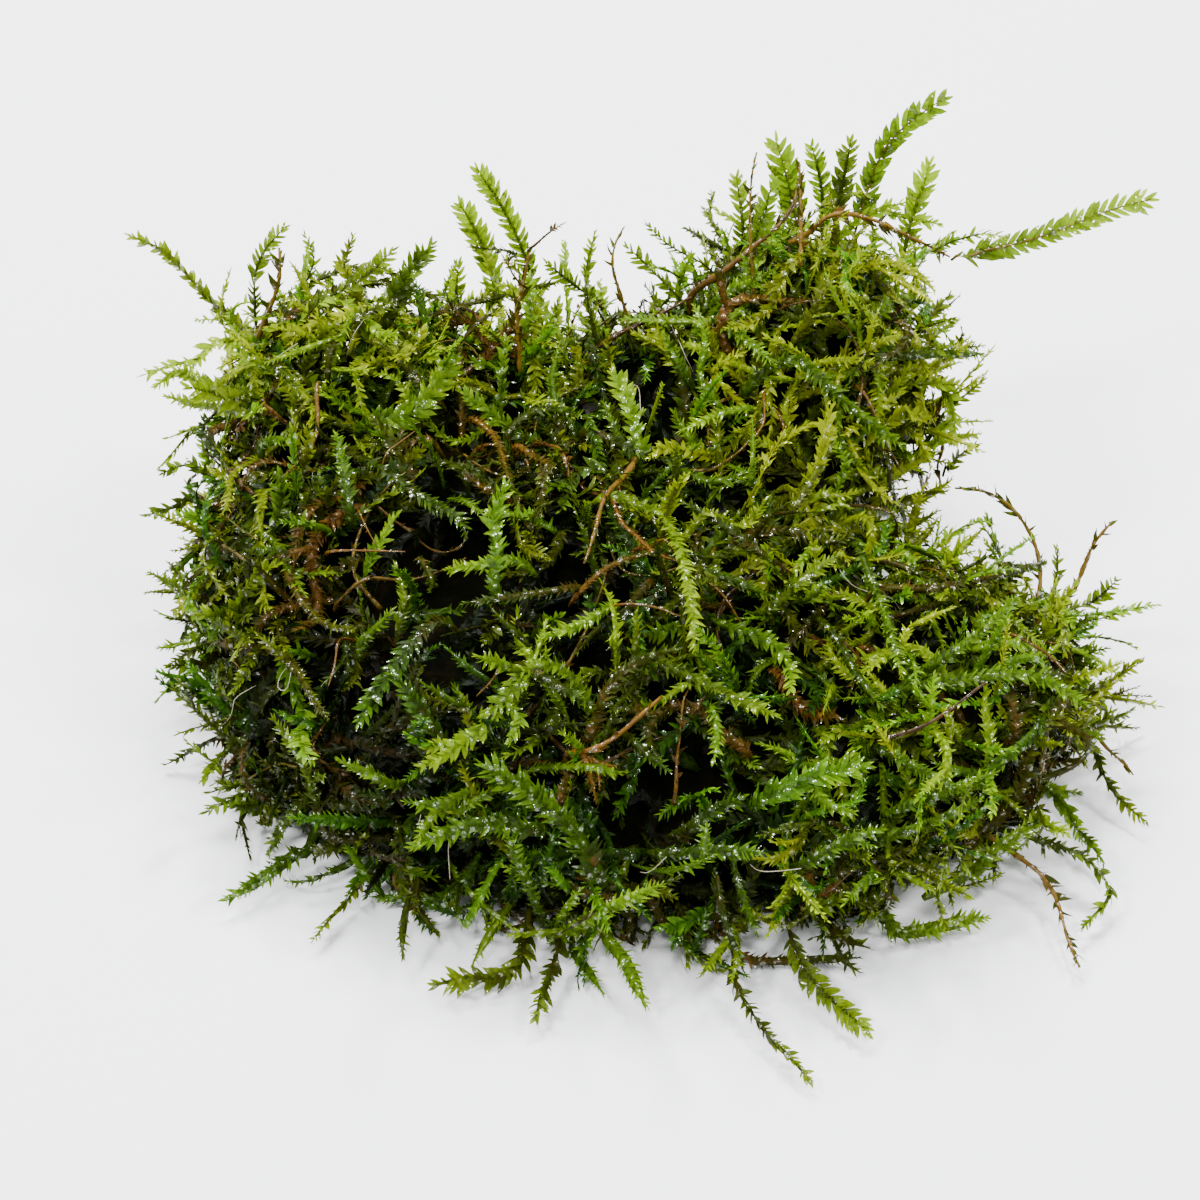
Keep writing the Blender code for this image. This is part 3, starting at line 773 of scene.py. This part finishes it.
# Each layer: (name, shoots, least gap, range of sinking, range of lift, range of waviness, depth of
# painted shade, range of half breadth, range of length, share that fork, habit), with its lengths in mm.
LAYERS = [
    ("shoots_deep", 330, 3.6, (3.0, 4.6), (0.0, 0.5), (0.2, 0.6), 0.75, (0.9, 1.2), (8, 18), 0.0, plain),
    ("shoots_middle", 380, 3.4, (1.8, 3.4), (0.2, 1.0), (0.2, 0.9), 0.5, (0.9, 1.2), (8, 20), 0.2, plain),
    ("shoots_lower", 330, 3.6, (0.6, 2.2), (0.5, 2.0), (0.3, 1.3), 0.2, (0.75, 1.15), (8, 20), 0.5, comb),
    ("shoots_upper", 270, 3.9, (-0.4, 1.0), (1.0, 3.0), (0.4, 1.5), 0.0, (0.7, 1.15), (8, 20), 0.6, comb),
    ("shoots_arching", 120, 4.5, (-0.8, 0.6), (0.0, 3.5), (1.2, 2.4), 0.0, (0.6, 0.95), (14, 26), 0.7, comb),
]
for name, count, gap, sinks, lifts, waves, depth, breadths, lengths, forks, usual in LAYERS:
    bundle = Bundle()
    for place, normal in scattered(count, gap * MM):
        inside = hollow_share(place)
        if chance.uniform() < HOLLOW_LOSS * inside and depth < DEEP:
            continue
        route, facing = woven_route(
            place,
            normal,
            growing_way(place, normal),
            chance.uniform(*lengths) * MM,
            (chance.uniform(*sinks) + HOLLOW_DROP * inside) * MM,
            chance.uniform(*lifts) * MM,
            chance.uniform(*waves) * MM,
        )
        shares = [hollow_share(Vector(point)) for point in route[4:]]
        entered = next((i for i, share in enumerate(shares) if share > HOLLOW_EDGE), None)
        if depth < OUTER and entered is not None and chance.uniform() < HOLLOW_CUT:
            route = route[: entered + 5]
            facing = facing[: entered + 5]
        # Painted shade: a shoot gets more painted shade the deeper it lies and the further its route runs
        # into a hollow.
        look, open_share = region_look(place, normal, depth * (1 + max(shares)) + chance.normal(0, 0.08))
        if depth < OUTER and chance.uniform() < BROWN_SHARE:
            look = (chance.uniform(*BROWN_FRESH), look[1], chance.uniform(*BROWN_WARM))
        habit = tufted if chance.uniform() < open_share else usual
        breadth = chance.uniform(*breadths) * MM
        shoot_on(bundle, habit, route, facing, breadth, look)
        if chance.uniform() < forks:
            side, side_facing = side_route(route, facing, chance.uniform(*SIDE_LENGTHS) * MM)
            side_look = (look[0] + SIDE_FRESH, *look[1:])
            shoot_on(bundle, habit, side, side_facing, SIDE_BREADTH * breadth, side_look)
    piece(name, bundle.mesh(name), FINISHES, "moss")

# The thin sprays round the mat's edge
# Young tips that stand off the mat every way, each a short side shoot with small leaves. The
# light comes through them, so they look yellow-green against the pale ground.
SPRAYS = 800
SPRAY_LENGTHS = (5, 13)
SPRAY_BREADTHS = (0.6, 1.05)
SPRAY_GAP = 2.2 * MM
SPRAY_ROOT = 3.0 * MM
SPRAY_FORKS = 0.5
SPRAY_SIDES = (0.3, 0.6)
SPRAY_STEPS = 7
SPRAY_SPREAD = 0.55
SPRAY_RISE = 0.45
SPRAY_BEND = 1.0
SPRAY_TILT = 0.5
SPRAY_TWIST = 0.6
SPRAY_FRESH = 0.06
SPRAY_SHADE = 0.6
SPRAY_TUFTS = 0.4
# No spray grows in a hollow, and few grow where the mat faces the viewer.
HOLLOW_BARE = 1.3
FRONT_BARE = 0.75

sprays = Bundle()
for place, normal in scattered(SPRAYS, SPRAY_GAP):
    facing_share = abs(normal.dot(to_viewer))
    if chance.uniform() < max(HOLLOW_BARE * hollow_share(place), FRONT_BARE * facing_share):
        continue
    spread = Vector(chance.normal(0, SPRAY_SPREAD, 3))
    away = (normal + spread + Vector((0, 0, SPRAY_RISE))).normalized()
    bend = Vector(chance.normal(0, SPRAY_BEND, 3))
    length = chance.uniform(*SPRAY_LENGTHS) * MM
    steps = [place - normal * SPRAY_ROOT]
    for share in np.linspace(0.1, 1, SPRAY_STEPS):
        steps.append(steps[-1] + (away + bend * share).normalized() * length / SPRAY_STEPS)
    steps = np.array(steps)
    facing = to_viewer * chance.uniform(0.3, 1) + Vector(chance.normal(0, SPRAY_TILT, 3))
    facing = facing.normalized()
    twist = np.linspace(0, 1, len(steps))[:, None] * chance.normal(0, SPRAY_TWIST, 3)
    facing = np.tile(facing, (len(steps), 1)) + twist
    look, open_share = region_look(place, normal, 0)
    look = (look[0] + SPRAY_FRESH, SPRAY_SHADE * look[1], look[2])
    habit = tufted if chance.uniform() < SPRAY_TUFTS + open_share else comb
    breadth = chance.uniform(*SPRAY_BREADTHS) * MM
    shoot_on(sprays, habit, steps, facing, breadth, look)
    if chance.uniform() < SPRAY_FORKS:
        side, side_facing = side_route(steps, facing, chance.uniform(*SPRAY_SIDES) * length)
        shoot_on(sprays, habit, side, side_facing, SIDE_BREADTH * breadth, look)
piece("edge_sprays", sprays.mesh("edge_sprays"), FINISHES, "lime_leaf")

# The shoots that lie on top of the mat
# These are the ones that can be told apart in the photograph, each along its own pixels, from
# its foot to its tip: (habit, half breadth in mm, freshness, warmth, pixels as across,down).
TOP_SHOOTS = [
    (coarse, 0.8, 0.50, 0.85, "281,336 330,307 379,300 414,313 440,332"),
    (tufted, 0.8, 0.64, 0.80, "283,322 309,302 347,286 380,294 402,310"),
    (coarse, 0.7, 0.54, 0.75, "330,372 340,340 372,322 410,326"),
    (coarse, 0.9, 0.84, 0.60, "252,396 225,388 200,378 186,392"),
    (coarse, 0.8, 0.80, 0.65, "262,420 238,412 214,408 196,400"),
    (tufted, 0.8, 0.86, 0.65, "500,352 495,330 485,295 470,262"),
    (tufted, 0.8, 0.84, 0.60, "565,362 560,345 548,325 540,310"),
    (tufted, 0.7, 0.88, 0.65, "522,333 540,359 558,366"),
    (tufted, 0.7, 0.84, 0.60, "600,330 592,300 598,276 603,262"),
    (toothed, 0.9, 0.72, 0.30, "721,323 750,345 777,366"),
    (toothed, 0.8, 0.66, 0.40, "706,320 757,294 782,284"),
    (toothed, 0.9, 0.66, 0.60, "400,630 405,610 392,588"),
    (toothed, 0.9, 0.60, 0.50, "305,800 290,812 280,826"),
    (toothed, 0.8, 0.72, 0.60, "995,625 1010,640 1021,660"),
    (tufted, 0.8, 0.76, 0.80, "800,590 806,570 794,552"),
    (coarse, 1.5, 0.76, 0.35, "366,432 400,424 425,408 451,380"),
    (toothed, 1.0, 0.70, 0.30, "266,456 285,450 303,443"),
    (toothed, 1.0, 0.62, 0.30, "352,518 347,488 340,460"),
    (toothed, 0.9, 0.48, 0.35, "325,458 355,470 385,480 411,498 436,511 474,524 495,546"),
    (coarse, 1.2, 0.74, 0.25, "500,592 507,564 509,533 519,507"),
    (toothed, 0.9, 0.86, 0.35, "524,571 495,580 467,592"),
    (toothed, 0.9, 0.82, 0.35, "612,610 573,633 532,650"),
    (toothed, 1.0, 0.86, 0.55, "604,503 639,525 665,533 675,559 680,599 675,640"),
    (coarse, 1.2, 0.86, 0.35, "633,465 629,440 626,418 619,389"),
    (toothed, 0.8, 0.58, 0.40, "628,470 612,450 604,425"),
    (toothed, 0.8, 0.92, 0.35, "752,414 730,420 713,428 690,450"),
    (toothed, 0.7, 0.78, 0.30, "724,412 698,381 718,350 708,327"),
    (toothed, 0.8, 0.64, 0.30, "690,384 680,368 672,352"),
    (toothed, 0.8, 0.64, 0.35, "573,438 563,425 553,400 559,366"),
    (toothed, 0.8, 0.52, 0.45, "512,441 542,421 583,441"),
    (toothed, 1.0, 0.44, 0.40, "583,441 604,455 640,472"),
    (toothed, 0.8, 0.48, 0.40, "637,479 660,480 683,482"),
    (toothed, 0.8, 0.62, 0.35, "685,477 721,497 752,490"),
    (toothed, 0.8, 0.44, 0.40, "672,486 684,505 695,527"),
    (toothed, 0.8, 0.46, 0.45, "777,579 726,543 690,530"),
    (toothed, 0.8, 0.52, 0.40, "685,581 721,587 762,599"),
    (toothed, 0.9, 0.70, 0.60, "765,608 797,581 820,568"),
    (coarse, 1.0, 0.80, 0.30, "726,625 766,640 782,668 788,690 781,713"),
    (toothed, 1.0, 0.70, 0.55, "655,660 700,696 735,718 767,740"),
    (toothed, 1.0, 0.42, 0.70, "588,735 598,696 624,666 665,645"),
    (toothed, 0.8, 0.48, 0.40, "525,668 555,686 583,706"),
    (tufted, 1.1, 0.84, 0.45, "527,674 504,700 481,736 436,756"),
    (tufted, 0.9, 0.86, 0.45, "486,728 462,742 437,743"),
    (tufted, 0.8, 0.80, 0.40, "503,704 520,716 508,738"),
    (toothed, 0.9, 0.78, 0.40, "470,790 450,800 432,838"),
    (toothed, 0.7, 0.42, 0.40, "420,564 432,592 445,620"),
    (toothed, 0.7, 0.40, 0.40, "578,592 535,604 481,620"),
    (toothed, 0.7, 0.30, 0.90, "471,423 502,451 509,474 522,502"),
    (toothed, 0.7, 0.32, 0.90, "517,456 535,472 553,497"),
    (coarse, 1.4, 0.74, 0.15, "758,803 800,786 830,781 858,778"),
    (toothed, 0.9, 0.78, 0.30, "806,790 813,808 832,823"),
    (toothed, 1.6, 0.60, 0.30, "606,880 573,833 545,803 490,757"),
    (toothed, 1.3, 0.64, 0.30, "540,828 500,821 474,818 431,839"),
    (toothed, 0.9, 0.66, 0.30, "474,808 450,800 421,790"),
    (toothed, 0.9, 0.62, 0.30, "551,919 540,890 527,860 513,824"),
    (toothed, 1.1, 0.84, 0.35, "552,932 590,905 625,886 658,873"),
    (toothed, 0.7, 0.80, 0.30, "556,924 570,900 583,876"),
    (toothed, 0.8, 0.72, 0.30, "577,944 590,955 608,970"),
    (toothed, 1.2, 0.48, 0.25, "680,832 715,812 750,797"),
    (toothed, 1.0, 0.56, 0.25, "660,853 715,848 768,848"),
    (toothed, 0.8, 0.78, 0.30, "711,714 717,745 715,769"),
    (toothed, 0.8, 0.44, 0.25, "626,738 650,760 672,787"),
    (toothed, 0.8, 0.78, 0.40, "580,748 570,738 554,727"),
    (toothed, 0.6, 0.60, 0.30, "735,868 745,890 757,912"),
    (toothed, 0.6, 0.50, 0.40, "720,890 728,912 737,940"),
    (toothed, 0.9, 0.38, 0.70, "738,945 790,940 840,930"),
    (toothed, 1.0, 0.70, 0.35, "923,676 955,655 980,640 1004,619"),
    (toothed, 1.0, 0.70, 0.35, "893,697 940,694 997,685 1035,695 1062,714"),
    (toothed, 0.9, 0.66, 0.40, "850,549 873,597 890,644 902,693"),
    (toothed, 0.8, 0.54, 0.40, "818,624 856,687 883,726"),
    (toothed, 0.9, 0.64, 0.30, "864,749 920,772 946,785"),
    (toothed, 0.9, 0.70, 0.30, "893,812 940,787 979,761"),
    (toothed, 0.9, 0.66, 0.35, "883,838 930,815 961,791"),
    (toothed, 1.0, 0.62, 0.30, "800,863 826,842 867,829"),
    (toothed, 0.9, 0.76, 0.30, "866,866 848,876 829,889"),
    (toothed, 1.1, 0.64, 0.35, "746,396 777,362 805,362 838,399 877,438"),
    (toothed, 0.8, 0.58, 0.40, "884,357 915,354 952,355"),
    (toothed, 0.7, 0.66, 0.90, "791,515 816,467 828,436"),
    (toothed, 0.6, 0.54, 0.70, "878,455 873,480 885,523 885,557"),
    (toothed, 0.7, 0.40, 0.60, "863,571 893,579 927,603"),
    (toothed, 0.8, 0.42, 0.60, "875,598 931,602 982,595 1029,590"),
    (toothed, 0.5, 0.80, 0.40, "752,481 755,460 756,437"),
    (toothed, 0.7, 0.42, 0.90, "222,640 282,657 308,675 333,703 348,718"),
    (toothed, 0.7, 0.44, 0.90, "290,574 313,611 343,639 369,647"),
    (toothed, 0.8, 0.68, 0.40, "366,650 380,643 396,631"),
    (coarse, 1.1, 0.48, 0.20, "445,630 417,659 392,688 377,723"),
    (coarse, 1.1, 0.48, 0.20, "447,740 428,712 408,685"),
    (toothed, 0.9, 0.70, 0.40, "399,780 380,768 357,756"),
    (toothed, 0.9, 0.64, 0.60, "323,797 320,760 296,723"),
    (toothed, 0.7, 0.62, 0.60, "321,771 334,768 348,768"),
    (tufted, 0.8, 0.62, 0.70, "266,657 260,674 254,693"),
    (toothed, 0.8, 0.64, 0.60, "252,640 218,611 195,585 179,567"),
    (toothed, 0.8, 0.52, 0.60, "270,358 298,383 309,397"),
    (toothed, 0.8, 0.50, 0.85, "438,403 411,383 370,359"),
    (toothed, 0.5, 0.17, 1.00, "606,505 616,538 637,556 661,586"),
    (toothed, 0.4, 0.20, 1.00, "637,556 656,570 676,582"),
    (toothed, 0.5, 0.30, 0.95, "578,596 609,571 652,572"),
    (toothed, 0.6, 0.22, 1.00, "579,750 588,775 594,804"),
    (toothed, 0.6, 0.24, 1.00, "581,754 603,768 621,767"),
    (toothed, 0.6, 0.22, 1.00, "582,758 598,775 606,794"),
    (coarse, 0.7, 0.48, 0.70, "420,328 497,313 575,310"),
]
LIE = 1.6 * MM
TIP_LIFT = 1.5 * MM
TOP_FRESH = 0.95
TOP_ROLL = 0.3
TOP_UPRIGHT = 0.5
# How far a foot goes in and back, in mm.
FOOT_IN = 2.5
FOOT_BACK = 1.0


def top_route(pixels, lift):
    """A route over the mat through some pixels: its foot goes in, and its tip stands off."""
    places = [on_mat(*map(int, pixel.split(","))) for pixel in pixels.split()]
    last = len(places) - 1
    points = [place + normal * (LIE + lift * (i / last) ** 2) for i, (place, normal) in enumerate(places)]
    roll = view_right * chance.normal(0, TOP_ROLL)
    facing = [(normal * TOP_UPRIGHT + to_viewer + roll).normalized() for _, normal in places]
    back = (points[1] - points[0]).normalized() * FOOT_BACK * MM
    foot = points[0] - places[0][1] * FOOT_IN * MM - back
    return np.array([foot, *points]), np.array([facing[0], *facing])


bundle = Bundle()
for habit, breadth, fresh, warm, pixels in TOP_SHOOTS:
    route, facing = top_route(pixels, TIP_LIFT)
    shoot_on(bundle, habit, route, facing, breadth * MM, (TOP_FRESH * fresh, 0, warm))
piece("top_shoots", bundle.mesh("top_shoots"), FINISHES, "green_leaf")

# The dead stems and root hairs in the mat
# Stems that have lost their leaves turn tan to red-brown and stay woven in, with a few short brown
# scales on them. The hairs are the moss's own rhizoids, pale and finer than a stem.
# Each stem: (radius in mm, freshness, warmth, pixels).
TOP_STEMS = [
    (0.28, 0.20, 0.40, "319,390 324,437 309,470 292,496"),
    (0.12, 0.12, 0.90, "360,514 368,535 375,560"),
    (0.15, 0.14, 0.90, "332,554 365,562 404,570"),
    (0.12, 0.24, 0.20, "387,468 402,460 419,451"),
    (0.36, 0.22, 0.40, "629,465 621,482 599,505 591,533 586,559 578,573"),
    (0.16, 0.12, 0.80, "614,610 650,610 668,618"),
    (0.36, 0.20, 0.85, "578,751 606,741 650,707"),
    (0.16, 0.12, 0.60, "522,673 502,661 496,680 484,697"),
    (0.30, 0.08, 0.40, "598,356 662,328 700,316"),
    (0.40, 0.15, 0.40, "695,303 731,286 757,266 795,238 802,205"),
    (0.28, 0.12, 0.70, "451,319 472,332 480,357"),
    (0.26, 0.06, 0.40, "877,746 923,738 953,718 977,697"),
    (0.18, 0.10, 0.80, "349,645 348,668 346,691"),
    (0.18, 0.15, 0.90, "765,398 768,430 758,452"),
    (0.18, 0.12, 0.90, "862,395 870,430 880,462"),
    (0.20, 0.14, 0.70, "1000,640 1040,665 1052,690"),
]
HAIRS = [
    "648,868 662,853",
    "760,867 779,866 797,863",
    "680,945 692,952",
    "280,368 303,355",
    "352,345 372,319",
    "292,672 283,690 300,695 305,680",
    "455,830 460,866",
    "632,395 642,393 639,426",
]
scaly = Habit(kite_leaf, 0.6, 0.45, 38, 0.9, 0.0, 0.2, 6, 0.5, -0.04)
TOP_SCALES = 1.7
SCALES = 2.8
TWIGS = 65
TWIG_GAP = 3.0 * MM
TWIG_LENGTHS = (8, 18)
TWIG_SINKS = (-0.4, 1.5)
TWIG_LIFTS = (0, 2.0)
TWIG_WAVE = 0.8 * MM
TWIG_RADII = (0.1, 0.24)
TWIG_SHADE = 0.35
LOOSE_HAIRS = 10
HAIR_GAP = 5.0 * MM
HAIR_LENGTHS = (3, 8)
HAIR_SINK = -0.5 * MM
HAIR_LIFT = 1.0 * MM
HAIR_WAVE = 0.4 * MM
HAIR_RADIUS = 0.035 * MM
HAIR_CORNERS = 4

dead = Bundle()
for radius, fresh, warm, pixels in TOP_STEMS:
    route, facing = top_route(pixels, 1.0 * MM)
    half = TOP_SCALES * radius * MM
    shoot_on(dead, scaly, route, facing, half, (fresh, 0, warm), stem=radius * MM)
for place, normal in scattered(TWIGS, TWIG_GAP):
    route, facing = woven_route(
        place,
        normal,
        growing_way(place, normal),
        chance.uniform(*TWIG_LENGTHS) * MM,
        chance.uniform(*TWIG_SINKS) * MM,
        chance.uniform(*TWIG_LIFTS) * MM,
        TWIG_WAVE,
    )
    radius = chance.uniform(*TWIG_RADII) * MM
    look = (chance.uniform(0.05, 0.5), TWIG_SHADE, chance.uniform(0.2, 1))
    shoot_on(dead, scaly, route, facing, SCALES * radius, look, stem=radius)
piece("dead_stems", dead.mesh("dead_stems"), FINISHES, "dead_stem")

root_hair = Finish("root_hair")
hair_stops = [(0.3, (0.24, 0.19, 0.11)), (0.7, (0.45, 0.42, 0.33))]
hair_finish = root_hair.shown(root_hair.skin(root_hair.ramp(root_hair.noise(300), hair_stops), 0.3))
hairs = Bundle()
hair_routes = [top_route(pixels, 0.6 * MM) for pixels in HAIRS]
for place, normal in scattered(LOOSE_HAIRS, HAIR_GAP):
    way = growing_way(place, normal)
    length = chance.uniform(*HAIR_LENGTHS) * MM
    hair_routes.append(woven_route(place, normal, way, length, HAIR_SINK, HAIR_LIFT, HAIR_WAVE))
for points, facing in hair_routes:
    route = evened(points, facing, 0.5 * MM)
    fine = np.full(len(route[0]), HAIR_RADIUS)
    stem_on(hairs, route, fine, fine, HAIR_CORNERS, (0.5, 0, 0.5), 0)
piece("root_hairs", hairs.mesh("root_hairs"), [hair_finish], "dead_stem")

# The shoots that stand clear of the mat
# Each grows out of the mat's edge, or from a bare stem, on a stem of its own, with its leaves in
# two flat rows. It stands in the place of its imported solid.
# Each kind is (habit, share of its solid's breadth, freshness, warmth, solids).
FRONDS = [
    (open_leaved, 0.85, 0.76, 0.55, "long_right top_right right_pale"),
    (feathered, 0.85, 0.84, 0.60, "lime_tall lime_short right_upright right_lime back_pale arch_side"),
    (feathered, 0.85, 0.74, 0.55, "right_broad right_cluster"),
    (feathered, 0.90, 0.60, 0.60, "right_dark"),
    (tufted, 1.00, 0.26, 0.90, "cross_right"),
    (tufted, 1.00, 0.44, 0.85, "cross_left"),
    (feathered, 0.85, 0.70, 0.65, "cross_low middle_bow middle_right left_curl left_fan"),
    (coarse, 0.90, 0.56, 0.50, "dark_broad"),
    (feathered, 0.85, 0.64, 0.75, "left_arch left_loop end_spread end_long front_right front_light"),
    (tufted, 0.95, 0.68, 0.90, "left_long"),
    (tufted, 0.95, 0.62, 0.65, "left_wing left_pair left_broad end_back arc_low right_edge"),
    (toothed, 0.90, 0.76, 0.45, "left_bright"),
    (toothed, 0.85, 0.56, 0.40, "left_low left_strand"),
    (tufted, 0.95, 0.62, 0.85, "left_twig end_upright end_side end_low right_olive right_spray"),
    (tufted, 0.95, 0.52, 0.75, "front_thin front_olive front_spray"),
    (toothed, 0.85, 0.74, 0.35, "front_bright"),
    (toothed, 0.80, 0.68, 0.50, "front_straight front_crisp"),
]
BRANCHES = {
    "frond_long_right": "stem_arch",
    "frond_arch_side": "stem_arch",
    "frond_cross_left": "stem_cross",
    "frond_cross_right": "stem_cross",
    "frond_right_spray": "stem_hanging",
}
ROOT_DEPTH = 2.5 * MM
JOINT_DEPTH = 0.4 * MM
MOST_BARE = 0.3
LIME_ABOVE = 0.73
DARK_BELOW = 0.61

mat_tree = BVHTree.FromBMesh(welded("moss_mat"))
stem_nodes = sorted(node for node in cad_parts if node.startswith("stem_"))
stem_trees = {node: BVHTree.FromBMesh(welded(node)) for node in stem_nodes}


def solid_rings(node, holder):
    """A packed shoot's or stem's rings from its root to its tip, as (4, 3) corner places each."""
    mesh = welded(node)
    mesh.verts.ensure_lookup_table()
    near = {vert: [edge.other_vert(vert) for edge in vert.link_edges] for vert in mesh.verts}

    def reached(first):
        """Every corner's walking distance from one of them."""
        far = {first: 0.0}
        waiting = [first]
        while waiting:
            vert = waiting.pop(0)
            for other in near[vert]:
                distance = far[vert] + (other.co - vert.co).length
                if distance < far.get(other, math.inf) - 1e-9:
                    far[other] = distance
                    waiting.append(other)
        return far

    far = reached(mesh.verts[0])
    one_end = max(far, key=far.get)
    far = reached(one_end)
    other_end = max(far, key=far.get)
    root = min((one_end, other_end), key=lambda vert: holder.find_nearest(vert.co)[3])
    far = reached(root)
    ring = sorted(far, key=far.get)[:4]
    seen = set(ring)
    rings = [ring]
    while len(seen) < len(near):
        found = {other for vert in ring for other in near[vert]} - seen
        seen |= found
        ring = [vert for vert in near if vert in found]
        rings.append(ring)
    places = [np.array([vert.co[:] for vert in ring]) for ring in rings]
    mesh.free()
    return places


def spine(node, holder, depth):
    """A solid's middle line from inside its holder, the way its blade faces, and its half breadths."""
    rings = solid_rings(node, holder)
    middle = np.array([ring.mean(0) for ring in rings])
    way = unit(np.gradient(middle, axis=0))
    wide = []
    half = []
    for ring, centre in zip(rings, middle):
        reach = ring - centre
        longest = reach[np.argmax(np.linalg.norm(reach, axis=1))]
        half.append(np.linalg.norm(longest))
        wide.append(longest if not wide or longest @ wide[-1] > 0 else -longest)
    facing = unit(np.cross(unit(np.array(wide)), way))
    facing *= np.sign(facing @ np.array(to_viewer))[:, None]
    facing[:3] = facing[3]
    foot = middle[0] + unit(middle[0] - middle[2]) * depth
    return np.vstack([foot, middle]), np.vstack([facing[:1], facing]), np.array(half)


for habit, share, fresh, warm, names in FRONDS:
    for name in names.split():
        node = "frond_" + name
        holder = stem_trees.get(BRANCHES.get(node), mat_tree)
        depth = ROOT_DEPTH if holder is mat_tree else JOINT_DEPTH
        middle, facing, half = spine(node, holder, depth)
        length = np.linalg.norm(np.diff(middle, axis=0), axis=1).sum()
        look = (fresh + chance.normal(0, 0.03), 0, warm + chance.normal(0, 0.05))
        bundle = Bundle()
        shoot_on(bundle, habit, middle, facing, share * half.max(), look, min(MOST_BARE, depth / length))
        slot = "lime_leaf" if fresh > LIME_ABOVE else "dark_leaf" if fresh < DARK_BELOW else "green_leaf"
        piece("shoot_" + name, bundle.mesh(node + "_leaves"), FINISHES, slot, node)

# The bare stems that stand clear of the mat
# Old stems that have shed most of their leaves: knobby brown twigs with short scales on them.
CORNER_SHARE = 0.75
BARK_FRESH = (0.3, 0.46)
BARK_WARM = 0.85
BARK_FOOT = 0.1

for node in stem_nodes:
    middle, facing, half = spine(node, mat_tree, ROOT_DEPTH)
    radius = CORNER_SHARE * half[2:-1].mean()
    look = (chance.uniform(*BARK_FRESH), 0, BARK_WARM)
    bundle = Bundle()
    shoot_on(bundle, scaly, middle, facing, SCALES * radius, look, BARK_FOOT, radius)
    piece("bare_" + node, bundle.mesh(node + "_bark"), FINISHES, "dead_stem", node)

# The floor and the light
# A plain pale floor under a soft white sky, with a large soft light over the back left, a weak one
# at the front right and four small ones that glint in the water on the leaves.
# Each light: (name, place in m, size in m, power in watts).
FLOOR_SIZE = 4.0
LIGHTS = [
    ("key_light", (-0.25, 0.45, 0.75), 0.35, 15.0),
    ("fill_light", (0.5, -0.35, 0.6), 0.3, 1.5),
    ("glint_left", (-0.40, -0.15, 0.55), 0.10, 4.0),
    ("glint_back", (0.10, 0.40, 0.60), 0.10, 6.0),
    ("glint_right", (0.45, 0.05, 0.55), 0.10, 3.5),
    ("glint_front", (-0.05, -0.35, 0.75), 0.10, 3.5),
]

plain_floor = Finish("floor")
floor_mesh = bmesh.new()
bmesh.ops.create_grid(floor_mesh, x_segments=1, y_segments=1, size=FLOOR_SIZE / 2)
floor_data = bpy.data.meshes.new("floor")
floor_mesh.to_mesh(floor_data)
floor_mesh.free()
floor_data.materials.append(plain_floor.shown(plain_floor.skin((0.94, 0.95, 0.96, 1), 0.6)))
floor = placed("floor", floor_data)

world = bpy.data.worlds.new("sky")
bpy.context.scene.world = world
world.use_nodes = True
sky = world.node_tree.nodes["Background"]
sky.inputs["Color"].default_value = (0.96, 0.98, 1.0, 1)
sky.inputs["Strength"].default_value = 0.54

for name, place, size, power in LIGHTS:
    light = bpy.data.lights.new(name, "AREA")
    light.size = size
    light.energy = power
    lamp = placed(name, light)
    lamp.location = place
    lamp.rotation_euler = (AIM - Vector(place)).to_track_quat("-Z", "Y").to_euler()
